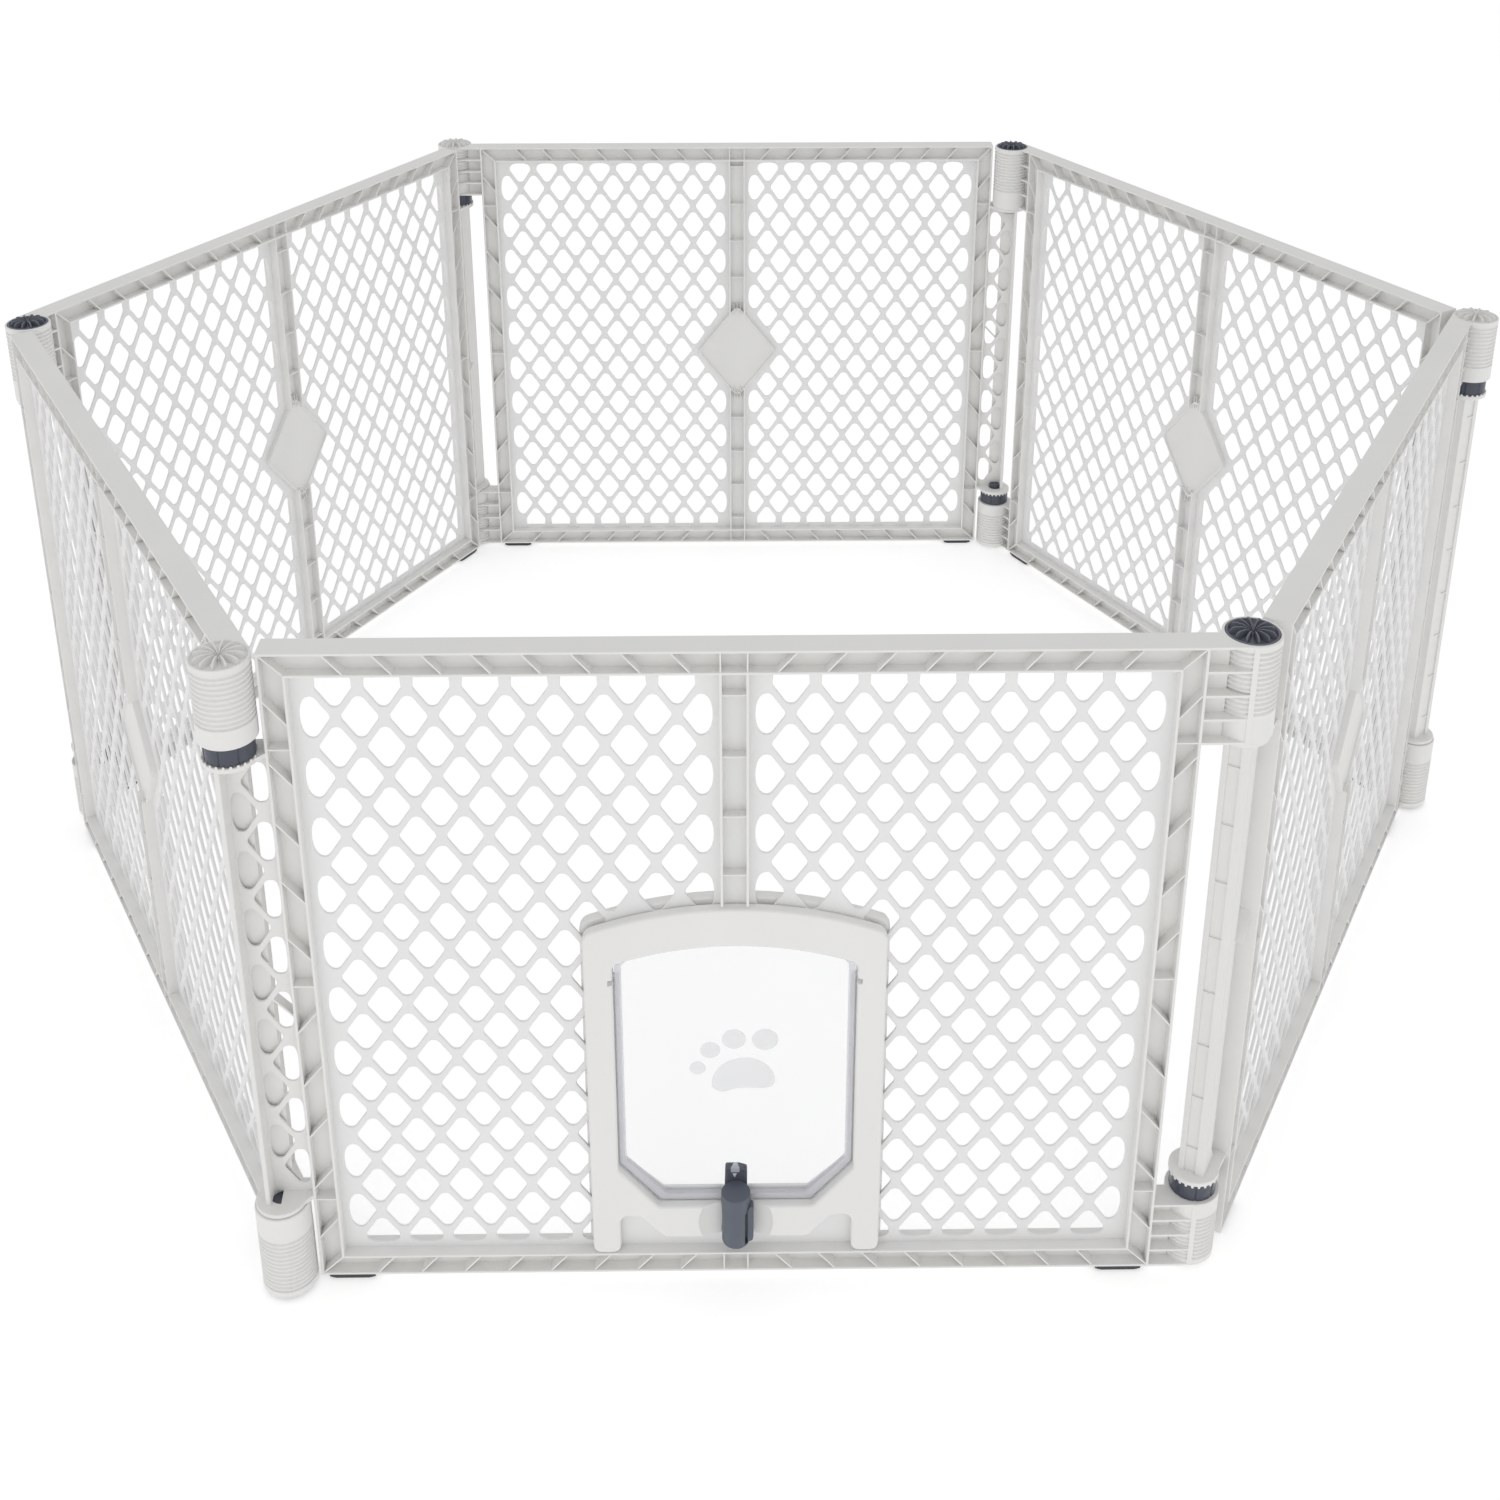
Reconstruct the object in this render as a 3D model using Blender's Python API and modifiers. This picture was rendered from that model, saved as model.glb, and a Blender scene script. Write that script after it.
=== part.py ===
"""Pet playpen: six moulded lattice panels hinged into a hexagon, the front one with a pet door.

Metres, +Z up, floor at z = 0, origin in the middle of the footprint. The front panel lies along X and
faces -Y. Going round anticlockwise from above, each panel has a post at its first corner and a pair
of hinge barrels at its second. Every other panel is the same moulding turned upside down, so hinge
axes alternate between the outer and the inner face and the pen folds flat in a zigzag.
"""

import math

import bmesh
import bpy
from mathutils import Vector

# Panel moulding. Panel coordinates: x from the post axis, y from mid-thickness (outside is -y), z from
# the bottom edge.
PANEL_HEIGHT = 0.6604
PANEL_THICKNESS = 0.025
STILE_TO_STILE = 0.765
POST_OFFSET = 0.028      # post axis to the near stile's edge
BARREL_OFFSET = 0.040    # barrel axis to the near stile's edge
FRAME_WIDTH = 0.022      # width of a rail or stile
WALL = 0.0024
GAP = 0.0003             # between neighbouring solids
OVERCUT = 0.001          # how far a cutter runs past the face that it opens
MITRE_STEP = 0.001       # how far a joined piece stops short of the face beside it
HINGE_GAP = 0.0005       # axis to face plane, and between hinge parts

# Hinges
BARREL_RADIUS = 0.025
CAP_BARREL_LENGTH = 0.092
RING_BARREL_LENGTH = 0.074
BORE_RADIUS = 0.0150
CAP_RADIUS = 0.0225
CAP_SEAT_DEPTH = 0.006
CAP_DOME = 0.0015
CAP_EDGE = 0.001
RING_RADIUS = 0.022
DISC_RADIUS = 0.023
DISC_THICKNESS = 0.005
POST_HALF_WIDTH = 0.013
POST_BORE_RADIUS = 0.0095
POST_BORE_CLEARANCE = 0.003
POST_WEB_Y = -0.0065     # outer face of the web between post and stile
POST_TIE_Y = -0.010      # outer face of the tie beside each disc
BARREL_RIBS = 4
BARREL_RIB_REACH = 0.55  # where the ribs end inside the barrel, as a share of its radius
SPIGOT_RADIUS = 0.0088
SPIGOT_LENGTH = 0.012
RING_SHANK_LENGTH = 0.040

# Mullion, lattice and badge plate
MULLION_WIDTH = 0.0243
MULLION_SETBACK = 0.0005  # of the flanges' edges from the panel's face
MULLION_TO_BADGE = 0.0125
LATTICE_PITCH_X = 0.0994
LATTICE_PITCH_Z = 0.1465
LATTICE_BAR = 0.0137
HOLE_MARGIN = 0.45       # of the pitch, kept free of holes round the pet door
BADGE_WIDTH = 0.116
BADGE_HEIGHT = 0.142
BADGE_DEPTH = 0.020
BADGE_RIM = 0.005

# Pet door, measured from the front panel's centre line
DOOR_HALF_WIDTH = 0.131
DOOR_TOP = 0.4075
DOOR_ARCH_RADIUS = 0.344
DOOR_CORNER_DROP = 0.040
OPENING_HALF_WIDTH = 0.106
OPENING_TOP = 0.369
OPENING_BOTTOM = 0.077
OPENING_ARCH_RADIUS = 0.300
OPENING_CHAMFER_X = 0.036
OPENING_CHAMFER_Z = 0.044
LEG_WIDTH = 0.0255
CROSSBAR_BOTTOM = 0.041
TRIM_DEPTH = 0.0105
INNER_TRIM_GROWTH = 0.003
FLAP_CLEARANCE = 0.0012
FLAP_THICKNESS = 0.003
FLAP_RIM_WIDTH = 0.007
FLAP_RIM_DEPTH = 0.006
FLAP_PIVOT_HEIGHT = 0.331
FLAP_PIN_RADIUS = 0.0020
FLAP_PIN_REACH = 0.004
FLAP_PIN_ROOT = 0.002    # length of the pin inside the flap's rim
FLAP_PIN_CLEARANCE = 0.0004
ARCH_INSET = 0.008       # from the side to where the arch starts
OPENING_SHOULDER = 0.014
TRIM_SHOULDER = 0.012
WINDOW_HEIGHT = 0.024    # of the openings under the crossbar
WINDOW_SLOPE = 0.040     # from the leg to the foot of the opening's slope
WINDOW_FLAT = 0.018
WINDOW_CORNER = 0.004
WINDOW_PEAK = 0.003
NOTCH_SLANT = 0.004
NOTCH_HALF_WIDTH = 0.020
NOTCH_TOP = 0.0965

# Latch, on the crossbar under the flap
DIAL_RADIUS = 0.0135
DIAL_AXIS_Y = -0.0105
DIAL_BOTTOM = 0.036
DIAL_TOP = 0.0945
DIAL_GRIP_WIDTH = 0.006
DIAL_GRIP_STEP = 0.002   # from the drum's lower end to the grip
DIAL_GRIP_REACH = 0.0165
DIAL_CLEARANCE = 0.0006
POCKET_HEADROOM = 0.010
DISH_HALF_WIDTH = 0.033
DISH_DEPTH = 0.0085
STOP_WIDTH = 0.020
STOP_TOP = 0.103
STOP_GAP = 0.0012        # from the flap's rim to the stop
STOP_INSET = 0.0006      # from the panel's inner face

# Feet
FOOT_LENGTH = 0.042
FOOT_WIDTH = 0.0244
FOOT_HEIGHT = 0.005
FOOT_INSET = 0.007
FOOT_TAPER = 0.004

SEGMENTS = 24
ARC_STEPS = 10

# Worked out from the sizes above
HALF_THICKNESS = PANEL_THICKNESS / 2
AXIS_Y = HALF_THICKNESS + HINGE_GAP
STILE_START = POST_OFFSET
STILE_END = POST_OFFSET + STILE_TO_STILE
BARREL_X = STILE_END + BARREL_OFFSET
CENTRE_X = (STILE_START + STILE_END) / 2
APOTHEM = BARREL_X * math.cos(math.radians(30))
WHITE_CORNER_RADIUS = (APOTHEM + AXIS_Y) / math.cos(math.radians(30))
DARK_CORNER_RADIUS = (APOTHEM - AXIS_Y) / math.cos(math.radians(30))
CENTRE_SHIFT = (DARK_CORNER_RADIUS - WHITE_CORNER_RADIUS) / 2
POST_BOTTOM = CAP_BARREL_LENGTH + HINGE_GAP
POST_TOP = PANEL_HEIGHT - POST_BOTTOM

PANELS = ["front", "right_front", "right_back", "back", "left_back", "left_front"]
OFF_WHITE = (0.80, 0.80, 0.79, 1.0)
PALE_GREY = (0.74, 0.74, 0.74, 1.0)
DARK_SLATE = (0.055, 0.060, 0.085, 1.0)
BLACK_RUBBER = (0.035, 0.035, 0.040, 1.0)
CLEAR = (0.86, 0.88, 0.90, 0.35)
PLASTIC_ROUGHNESS = 0.5
SLATE_ROUGHNESS = 0.35
RUBBER_ROUGHNESS = 0.8
CLEAR_ROUGHNESS = 0.15
SHARP_ANGLE = 35
MERGE_DISTANCE = 0.00001


def clear_scene():
    for obj in list(bpy.data.objects):
        bpy.data.objects.remove(obj, do_unlink=True)


def new_collection(name, hidden=False):
    collection = bpy.data.collections.new(name)
    bpy.context.scene.collection.children.link(collection)
    collection.hide_render = hidden
    return collection


def new_material(name, colour, roughness):
    material = bpy.data.materials.new(name)
    material.use_nodes = True
    shader = material.node_tree.nodes["Principled BSDF"]
    shader.inputs["Base Color"].default_value = colour
    shader.inputs["Roughness"].default_value = roughness
    shader.inputs["Metallic"].default_value = 0.0
    shader.inputs["Alpha"].default_value = colour[3]
    return material


def add_object(name, mesh, collection, helper=False):
    obj = bpy.data.objects.new(name, mesh)
    collection.objects.link(obj)
    if helper:
        obj.hide_render = True
        obj.display_type = "WIRE"
    return obj


def box_mesh(name, low, high):
    """A box between two corners, from a cube."""
    shape = bmesh.new()
    bmesh.ops.create_cube(shape, size=1.0)
    size = Vector(high) - Vector(low)
    middle = (Vector(high) + Vector(low)) / 2
    bmesh.ops.scale(shape, vec=size, verts=shape.verts)
    bmesh.ops.translate(shape, vec=middle, verts=shape.verts)
    mesh = bpy.data.meshes.new(name)
    shape.to_mesh(mesh)
    shape.free()
    return mesh


def cylinder_mesh(name, x, y, low, high, radius, segments=SEGMENTS):
    """An upright cylinder on the axis (x, y) from z = low to z = high."""
    shape = bmesh.new()
    bmesh.ops.create_cone(
        shape, cap_ends=True, segments=segments, radius1=radius, radius2=radius, depth=high - low
    )
    bmesh.ops.translate(shape, vec=(x, y, (low + high) / 2), verts=shape.verts)
    mesh = bpy.data.meshes.new(name)
    shape.to_mesh(mesh)
    shape.free()
    return mesh


def plate_mesh(name, outlines, low_y, high_y):
    """A flat plate in the XZ plane, thick from low_y to high_y. An outline inside another is a hole."""
    curve = bpy.data.curves.new(name, "CURVE")
    curve.dimensions = "2D"
    curve.fill_mode = "BOTH"
    curve.extrude = (high_y - low_y) / 2
    for outline in outlines:
        spline = curve.splines.new("POLY")
        spline.points.add(len(outline) - 1)
        for point, (x, z) in zip(spline.points, outline):
            point.co = (x, z, 0.0, 1.0)
        spline.use_cyclic_u = True
    helper = bpy.data.objects.new(name, curve)
    bpy.context.scene.collection.objects.link(helper)
    bpy.context.view_layer.update()
    graph = bpy.context.evaluated_depsgraph_get()
    mesh = bpy.data.meshes.new_from_object(helper.evaluated_get(graph))
    bpy.data.objects.remove(helper, do_unlink=True)
    bpy.data.curves.remove(curve)
    mesh.name = name
    shape = bmesh.new()
    shape.from_mesh(mesh)
    bmesh.ops.remove_doubles(shape, verts=shape.verts, dist=MERGE_DISTANCE)
    bmesh.ops.dissolve_degenerate(shape, dist=MERGE_DISTANCE, edges=shape.edges)
    for vertex in shape.verts:
        x, z, across = vertex.co
        vertex.co = (x, (low_y + high_y) / 2 - across, z)
    bmesh.ops.recalc_face_normals(shape, faces=shape.faces)
    shape.to_mesh(mesh)
    shape.free()
    return mesh


def turned_mesh(name, profile, x=0.0, y=0.0, segments=SEGMENTS):
    """A turned piece. The profile's (radius, z) points run from the top of the axis to its bottom."""
    outline = bpy.data.meshes.new(name)
    points = [(radius, 0.0, z) for radius, z in profile]
    outline.from_pydata(points, [(i, i + 1) for i in range(len(points) - 1)], [])
    helper = bpy.data.objects.new(name, outline)
    bpy.context.scene.collection.objects.link(helper)
    screw = helper.modifiers.new("Screw", "SCREW")
    screw.steps = segments
    screw.render_steps = segments
    screw.use_merge_vertices = True
    screw.merge_threshold = MERGE_DISTANCE
    bpy.context.view_layer.update()
    graph = bpy.context.evaluated_depsgraph_get()
    mesh = bpy.data.meshes.new_from_object(helper.evaluated_get(graph))
    bpy.data.objects.remove(helper, do_unlink=True)
    bpy.data.meshes.remove(outline)
    shape = bmesh.new()
    shape.from_mesh(mesh)
    bmesh.ops.translate(shape, vec=(x, y, 0.0), verts=shape.verts)
    bmesh.ops.recalc_face_normals(shape, faces=shape.faces)
    shape.to_mesh(mesh)
    shape.free()
    mesh.name = name
    return mesh


def combine(name, base, added, cut):
    """The mesh of base with the added meshes joined on and then the cut meshes taken away."""
    obj = add_object(name, base, HELPERS, helper=True)
    for operation, meshes in (("UNION", added), ("DIFFERENCE", cut)):
        for number, mesh in enumerate(meshes):
            tool = add_object(f"{name}_{operation.lower()}_{number}", mesh, HELPERS, helper=True)
            step = obj.modifiers.new(f"{operation}_{number}", "BOOLEAN")
            step.operation = operation
            step.object = tool
            step.solver = "EXACT"
    bpy.context.view_layer.update()
    graph = bpy.context.evaluated_depsgraph_get()
    mesh = bpy.data.meshes.new_from_object(obj.evaluated_get(graph))
    for helper in [obj] + [step.object for step in obj.modifiers]:
        bpy.data.objects.remove(helper, do_unlink=True)
    mesh.name = name
    return mesh


def rectangle(low_x, low_z, high_x, high_z):
    return [(low_x, low_z), (high_x, low_z), (high_x, high_z), (low_x, high_z)]


def inset_rectangle(inset):
    """The panel's outline, moved in by inset."""
    return rectangle(STILE_START + inset, inset, STILE_END - inset, PANEL_HEIGHT - inset)


def diamond(centre_x, centre_z, half_width, half_height):
    return [
        (centre_x - half_width, centre_z),
        (centre_x, centre_z - half_height),
        (centre_x + half_width, centre_z),
        (centre_x, centre_z + half_height),
    ]


def blunt_diamond(half_width, half_height, blunt=0.12):
    """A diamond round the panel's middle whose four points are cut off."""
    middle = PANEL_HEIGHT / 2
    tips = diamond(0.0, 0.0, half_width, half_height)
    points = []
    for index, tip in enumerate(tips):
        for other in (tips[index - 1], tips[(index + 1) % 4]):
            x = tip[0] + (other[0] - tip[0]) * blunt
            z = tip[1] + (other[1] - tip[1]) * blunt
            points.append((CENTRE_X + x, middle + z))
    return points


def arch_height(top, radius, x):
    """Height of an arch of this radius and crown at a distance x from the centre line."""
    return top - radius + math.sqrt(radius * radius - x * x)


def arch_points(half_width, top, radius):
    """The arch from right to left."""
    steps = [half_width * (1 - 2 * i / ARC_STEPS) for i in range(ARC_STEPS + 1)]
    return [(CENTRE_X + x, arch_height(top, radius, x)) for x in steps]


def opening_outline(inset=0.0):
    """The door opening: arched top, straight sides and chamfered lower corners."""
    half = OPENING_HALF_WIDTH - inset
    low = OPENING_BOTTOM + inset
    slant = inset * 0.4
    arch = arch_points(half - ARCH_INSET, OPENING_TOP - inset, OPENING_ARCH_RADIUS)
    shoulder = arch[0][1] - OPENING_SHOULDER
    return (
        [
            (CENTRE_X - half + OPENING_CHAMFER_X, low),
            (CENTRE_X + half - OPENING_CHAMFER_X, low),
            (CENTRE_X + half, low + OPENING_CHAMFER_Z - slant),
            (CENTRE_X + half, shoulder),
        ]
        + arch
        + [
            (CENTRE_X - half, shoulder),
            (CENTRE_X - half, low + OPENING_CHAMFER_Z - slant),
        ]
    )


def flap_outline(inset):
    """The flap's edge: the opening's shape moved in, with a notch over the latch."""
    outline = opening_outline(inset)
    low = OPENING_BOTTOM + inset
    notch_top = NOTCH_TOP + inset - FLAP_CLEARANCE
    half = NOTCH_HALF_WIDTH + inset - FLAP_CLEARANCE
    notch = [
        (CENTRE_X - half, low),
        (CENTRE_X - half + NOTCH_SLANT, notch_top),
        (CENTRE_X + half - NOTCH_SLANT, notch_top),
        (CENTRE_X + half, low),
    ]
    return outline[:1] + notch + outline[1:]


def lattice_holes(skip):
    """Diamond holes in staggered rows on both sides of the mullion, without those where skip(x, z)."""
    diagonal = math.hypot(LATTICE_PITCH_X / 2, LATTICE_PITCH_Z / 2)
    bar_spacing = LATTICE_PITCH_X * LATTICE_PITCH_Z / 4 / diagonal
    scale = 1 - LATTICE_BAR / 2 / bar_spacing
    half_width = LATTICE_PITCH_X / 2 * scale
    half_height = LATTICE_PITCH_Z / 2 * scale
    side_width = (STILE_TO_STILE - MULLION_WIDTH) / 2 - FRAME_WIDTH
    holes = []
    for side in (-1, 1):
        middle_x = CENTRE_X + side * (MULLION_WIDTH + side_width) / 2
        for row in range(-3, 4):
            z = PANEL_HEIGHT / 2 + row * LATTICE_PITCH_Z / 2
            columns = (-1, 0, 1) if row % 2 == 0 else (-0.5, 0.5)
            for column in columns:
                x = middle_x + column * LATTICE_PITCH_X
                if not skip(x, z):
                    holes.append(diamond(x, z, half_width, half_height))
    return holes


def barrel_parts(low, high):
    """A hinge barrel on its axis, its web and its ribs, which run into the stile beside it."""
    root = STILE_END - WALL / 2
    parts = [cylinder_mesh("barrel", BARREL_X, AXIS_Y, low, high, BARREL_RADIUS)]
    reach = BARREL_X - BARREL_RADIUS * BARREL_RIB_REACH
    web_low = (root, -WALL / 2, low + WALL / 2)
    web_high = (reach, WALL / 2, high - WALL / 2)
    parts.append(box_mesh("barrel_web", web_low, web_high))
    deep = HALF_THICKNESS - MITRE_STEP
    for number in range(BARREL_RIBS):
        z = low + WALL + (high - low - 2 * WALL) * number / (BARREL_RIBS - 1)
        parts.append(
            box_mesh("barrel_rib", (root, -deep, z - WALL / 2), (reach, deep, z + WALL / 2))
        )
    return parts


def post_parts():
    """The hinge post: a column with a disc at each end, joined to the stile by a web."""
    root = STILE_START + WALL / 2
    column = box_mesh(
        "post",
        (-POST_HALF_WIDTH, -AXIS_Y - POST_HALF_WIDTH, POST_BOTTOM + DISC_THICKNESS / 2),
        (POST_HALF_WIDTH, -AXIS_Y + POST_HALF_WIDTH, POST_TOP - DISC_THICKNESS / 2),
    )
    web = box_mesh(
        "post_web",
        (POST_HALF_WIDTH - WALL, POST_WEB_Y, POST_BOTTOM + MITRE_STEP),
        (root, POST_WEB_Y + WALL, POST_TOP - MITRE_STEP),
    )
    parts = [column, web]
    for low in (POST_BOTTOM, POST_TOP - DISC_THICKNESS):
        high = low + DISC_THICKNESS
        parts.append(cylinder_mesh("post_disc", 0.0, -AXIS_Y, low, high, DISC_RADIUS))
        step = WALL / 4
        tie_low = (0.0, POST_TIE_Y, low + step)
        tie_high = (root, WALL / 2, high - step)
        parts.append(box_mesh("post_tie", tie_low, tie_high))
    return parts


def post_bores():
    """A blind bore in each end of the post, for a cap's or a ring's spigot."""
    deep = SPIGOT_LENGTH + POST_BORE_CLEARANCE
    spans = (
        (POST_BOTTOM - OVERCUT, POST_BOTTOM + deep),
        (POST_TOP - deep, POST_TOP + OVERCUT),
    )
    return [cylinder_mesh("post_bore", 0.0, -AXIS_Y, *span, POST_BORE_RADIUS) for span in spans]


def barrel_bores():
    """A through bore with a seat for the cap above, and a blind bore for the lock ring below."""
    top = PANEL_HEIGHT
    seat = top - CAP_SEAT_DEPTH
    below = top - CAP_BARREL_LENGTH - OVERCUT
    through = cylinder_mesh("cap_bore", BARREL_X, AXIS_Y, below, seat + OVERCUT, BORE_RADIUS)
    cap_seat = cylinder_mesh("cap_seat", BARREL_X, AXIS_Y, seat, top + OVERCUT, CAP_RADIUS + GAP)
    low = RING_BARREL_LENGTH - RING_SHANK_LENGTH - OVERCUT
    high = RING_BARREL_LENGTH + OVERCUT
    blind = cylinder_mesh("ring_bore", BARREL_X, AXIS_Y, low, high, BORE_RADIUS)
    return [through, cap_seat, blind]


def mullion_parts(spans):
    """The mullion's flanges, on both faces of the lattice, over each span of heights."""
    parts = []
    clear = WALL / 2 + GAP
    deep = HALF_THICKNESS - MULLION_SETBACK
    for low, high in spans:
        for side in (-1, 1):
            edge = CENTRE_X + side * (MULLION_WIDTH - WALL) / 2
            for near, far in ((-deep, -clear), (clear, deep)):
                parts.append(
                    box_mesh("mullion", (edge - WALL / 2, near, low), (edge + WALL / 2, far, high))
                )
    return parts


def frame_mesh(name, mullion_spans):
    """The H-section frame with its mullion, post and barrels, as one solid."""
    slab = plate_mesh(
        name, [inset_rectangle(0.0), inset_rectangle(FRAME_WIDTH)], -HALF_THICKNESS, HALF_THICKNESS
    )
    pocket = [inset_rectangle(WALL), inset_rectangle(FRAME_WIDTH - WALL)]
    pockets = [
        plate_mesh("pocket", pocket, -HALF_THICKNESS - OVERCUT, -WALL / 2),
        plate_mesh("pocket", pocket, WALL / 2, HALF_THICKNESS + OVERCUT),
    ]
    slab = combine(name, slab, [], pockets)
    parts = mullion_parts(mullion_spans)
    parts += barrel_parts(PANEL_HEIGHT - CAP_BARREL_LENGTH, PANEL_HEIGHT)
    parts += barrel_parts(0.0, RING_BARREL_LENGTH)
    parts += post_parts()
    return combine(name, slab, parts, post_bores() + barrel_bores())


def plain_spans():
    """The mullion's two stretches, above and below the badge plate."""
    inside = FRAME_WIDTH - WALL / 2
    middle = PANEL_HEIGHT / 2
    reach = (1 - MULLION_WIDTH / BADGE_WIDTH) * BADGE_HEIGHT / 2 + MULLION_TO_BADGE
    return [(inside, middle - reach), (middle + reach, PANEL_HEIGHT - inside)]


def door_spans():
    """The mullion's one stretch, above the pet door."""
    inside = FRAME_WIDTH - WALL / 2
    return [(DOOR_TOP + INNER_TRIM_GROWTH + GAP, PANEL_HEIGHT - inside)]


def plain_lattice_mesh():
    """The plain panel's lattice plate, open in the middle for the badge plate."""
    middle = PANEL_HEIGHT / 2

    def over_badge(x, z):
        reach_x = (BADGE_WIDTH + LATTICE_PITCH_X) / 2
        reach_z = (BADGE_HEIGHT + LATTICE_PITCH_Z) / 2
        return abs(x - CENTRE_X) / reach_x + abs(z - middle) / reach_z < 1.0

    outlines = [inset_rectangle(FRAME_WIDTH + GAP)] + lattice_holes(over_badge)
    outlines.append(blunt_diamond(BADGE_WIDTH / 2 + GAP * 2, BADGE_HEIGHT / 2 + GAP * 2))
    return plate_mesh("plain_lattice", outlines, -WALL / 2, WALL / 2)


def badge_mesh():
    """The blank badge plate: a thin web in a raised diamond rim."""
    whole = blunt_diamond(BADGE_WIDTH / 2, BADGE_HEIGHT / 2)
    inside = blunt_diamond(BADGE_WIDTH / 2 - BADGE_RIM, BADGE_HEIGHT / 2 - BADGE_RIM)
    plate = plate_mesh("badge_plate", [whole], -BADGE_DEPTH / 2, BADGE_DEPTH / 2)
    deep = BADGE_DEPTH / 2 + OVERCUT
    pockets = [
        plate_mesh("badge_pocket", [inside], -deep, -WALL / 2),
        plate_mesh("badge_pocket", [inside], WALL / 2, deep),
    ]
    return combine("badge_plate", plate, [], pockets)


def dial_pocket():
    """A cutter that leaves room for the latch dial to turn and for the flap to leave it."""
    radius = DIAL_RADIUS + DIAL_CLEARANCE
    low = DIAL_BOTTOM - OVERCUT
    return cylinder_mesh("dial_pocket", CENTRE_X, DIAL_AXIS_Y, low, DIAL_TOP + POCKET_HEADROOM, radius)


def front_lattice_mesh():
    """The front panel's lattice plate with the door opening cut through it."""

    def near_door(x, z):
        beside = abs(x - CENTRE_X) < DOOR_HALF_WIDTH + LATTICE_PITCH_X * HOLE_MARGIN
        return beside and z < DOOR_TOP + LATTICE_PITCH_Z * HOLE_MARGIN

    outlines = [inset_rectangle(FRAME_WIDTH + GAP)] + lattice_holes(near_door)
    outlines.append(opening_outline())
    plate = plate_mesh("front_lattice", outlines, -WALL / 2, WALL / 2)
    return combine("front_lattice", plate, [], [dial_pocket()])


def trim_mesh(name, grow, low_y, high_y, cut):
    """One half of the door frame: an arch on two legs, with a crossbar under the opening."""
    half = DOOR_HALF_WIDTH + grow
    foot = FRAME_WIDTH + GAP
    inner_leg = half - LEG_WIDTH
    arch = arch_points(half - ARCH_INSET, DOOR_TOP + grow, DOOR_ARCH_RADIUS)
    shoulder = arch[0][1] - TRIM_SHOULDER
    window_top = CROSSBAR_BOTTOM + WINDOW_HEIGHT
    right_side = [
        (inner_leg - WINDOW_SLOPE, CROSSBAR_BOTTOM),
        (inner_leg - WINDOW_FLAT, window_top),
        (inner_leg - WINDOW_CORNER, window_top + WINDOW_PEAK),
        (inner_leg, window_top - WINDOW_CORNER / 2),
        (inner_leg, foot),
        (half, foot),
        (half, shoulder),
    ]
    outline = [(CENTRE_X + x, z) for x, z in right_side]
    outline += arch
    outline += [(CENTRE_X - x, z) for x, z in reversed(right_side)]
    plate = plate_mesh(name, [outline, opening_outline()], low_y, high_y)
    return combine(name, plate, [], cut)


def outer_trim_mesh():
    """The outer half, dished round the latch so that it can be gripped."""
    high_y = -WALL / 2 - GAP
    radius = (DISH_HALF_WIDTH**2 + DISH_DEPTH**2) / (2 * DISH_DEPTH)
    centre_y = high_y - TRIM_DEPTH + DISH_DEPTH - radius
    low = CROSSBAR_BOTTOM - OVERCUT
    dish = cylinder_mesh("dish", CENTRE_X, centre_y, low, DIAL_TOP, radius, segments=96)
    return trim_mesh("door_outer_frame", 0.0, high_y - TRIM_DEPTH, high_y, [dish, dial_pocket()])


def inner_trim_mesh():
    """The inner half, which reaches a little further round the door."""
    low_y = WALL / 2 + GAP
    high_y = low_y + TRIM_DEPTH
    return trim_mesh("door_inner_frame", INNER_TRIM_GROWTH, low_y, high_y, [dial_pocket()])


def flap_mesh():
    """The clear flap: a thin sheet in a thicker rim, with a stub pin on each side."""
    edge = flap_outline(FLAP_CLEARANCE)
    inner = opening_outline(FLAP_CLEARANCE + FLAP_RIM_WIDTH)
    inner[0:2] = [
        (inner[0][0], NOTCH_TOP + FLAP_RIM_WIDTH),
        (inner[1][0], NOTCH_TOP + FLAP_RIM_WIDTH),
    ]
    body = plate_mesh("door_flap", [edge], -FLAP_RIM_DEPTH / 2, FLAP_RIM_DEPTH / 2)
    deep = FLAP_RIM_DEPTH / 2 + OVERCUT
    pockets = [
        plate_mesh("flap_pocket", [inner], -deep, -FLAP_THICKNESS / 2),
        plate_mesh("flap_pocket", [inner], FLAP_THICKNESS / 2, deep),
    ]
    return combine("door_flap", body, [flap_pin_mesh(-1), flap_pin_mesh(1)], pockets)


def flap_pin_mesh(side):
    """A stub of the flap's pivot, lying along X."""
    shape = bmesh.new()
    bmesh.ops.create_cone(
        shape,
        cap_ends=True,
        segments=12,
        radius1=FLAP_PIN_RADIUS,
        radius2=FLAP_PIN_RADIUS,
        depth=FLAP_PIN_REACH + FLAP_PIN_ROOT,
    )
    for vertex in shape.verts:
        x, y, z = vertex.co
        vertex.co = (z, y, -x)
    root = OPENING_HALF_WIDTH - FLAP_CLEARANCE - FLAP_PIN_ROOT
    middle = CENTRE_X + side * (root + (FLAP_PIN_REACH + FLAP_PIN_ROOT) / 2)
    bmesh.ops.translate(shape, vec=(middle, 0.0, FLAP_PIVOT_HEIGHT), verts=shape.verts)
    mesh = bpy.data.meshes.new("flap_pin")
    shape.to_mesh(mesh)
    shape.free()
    return mesh


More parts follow.
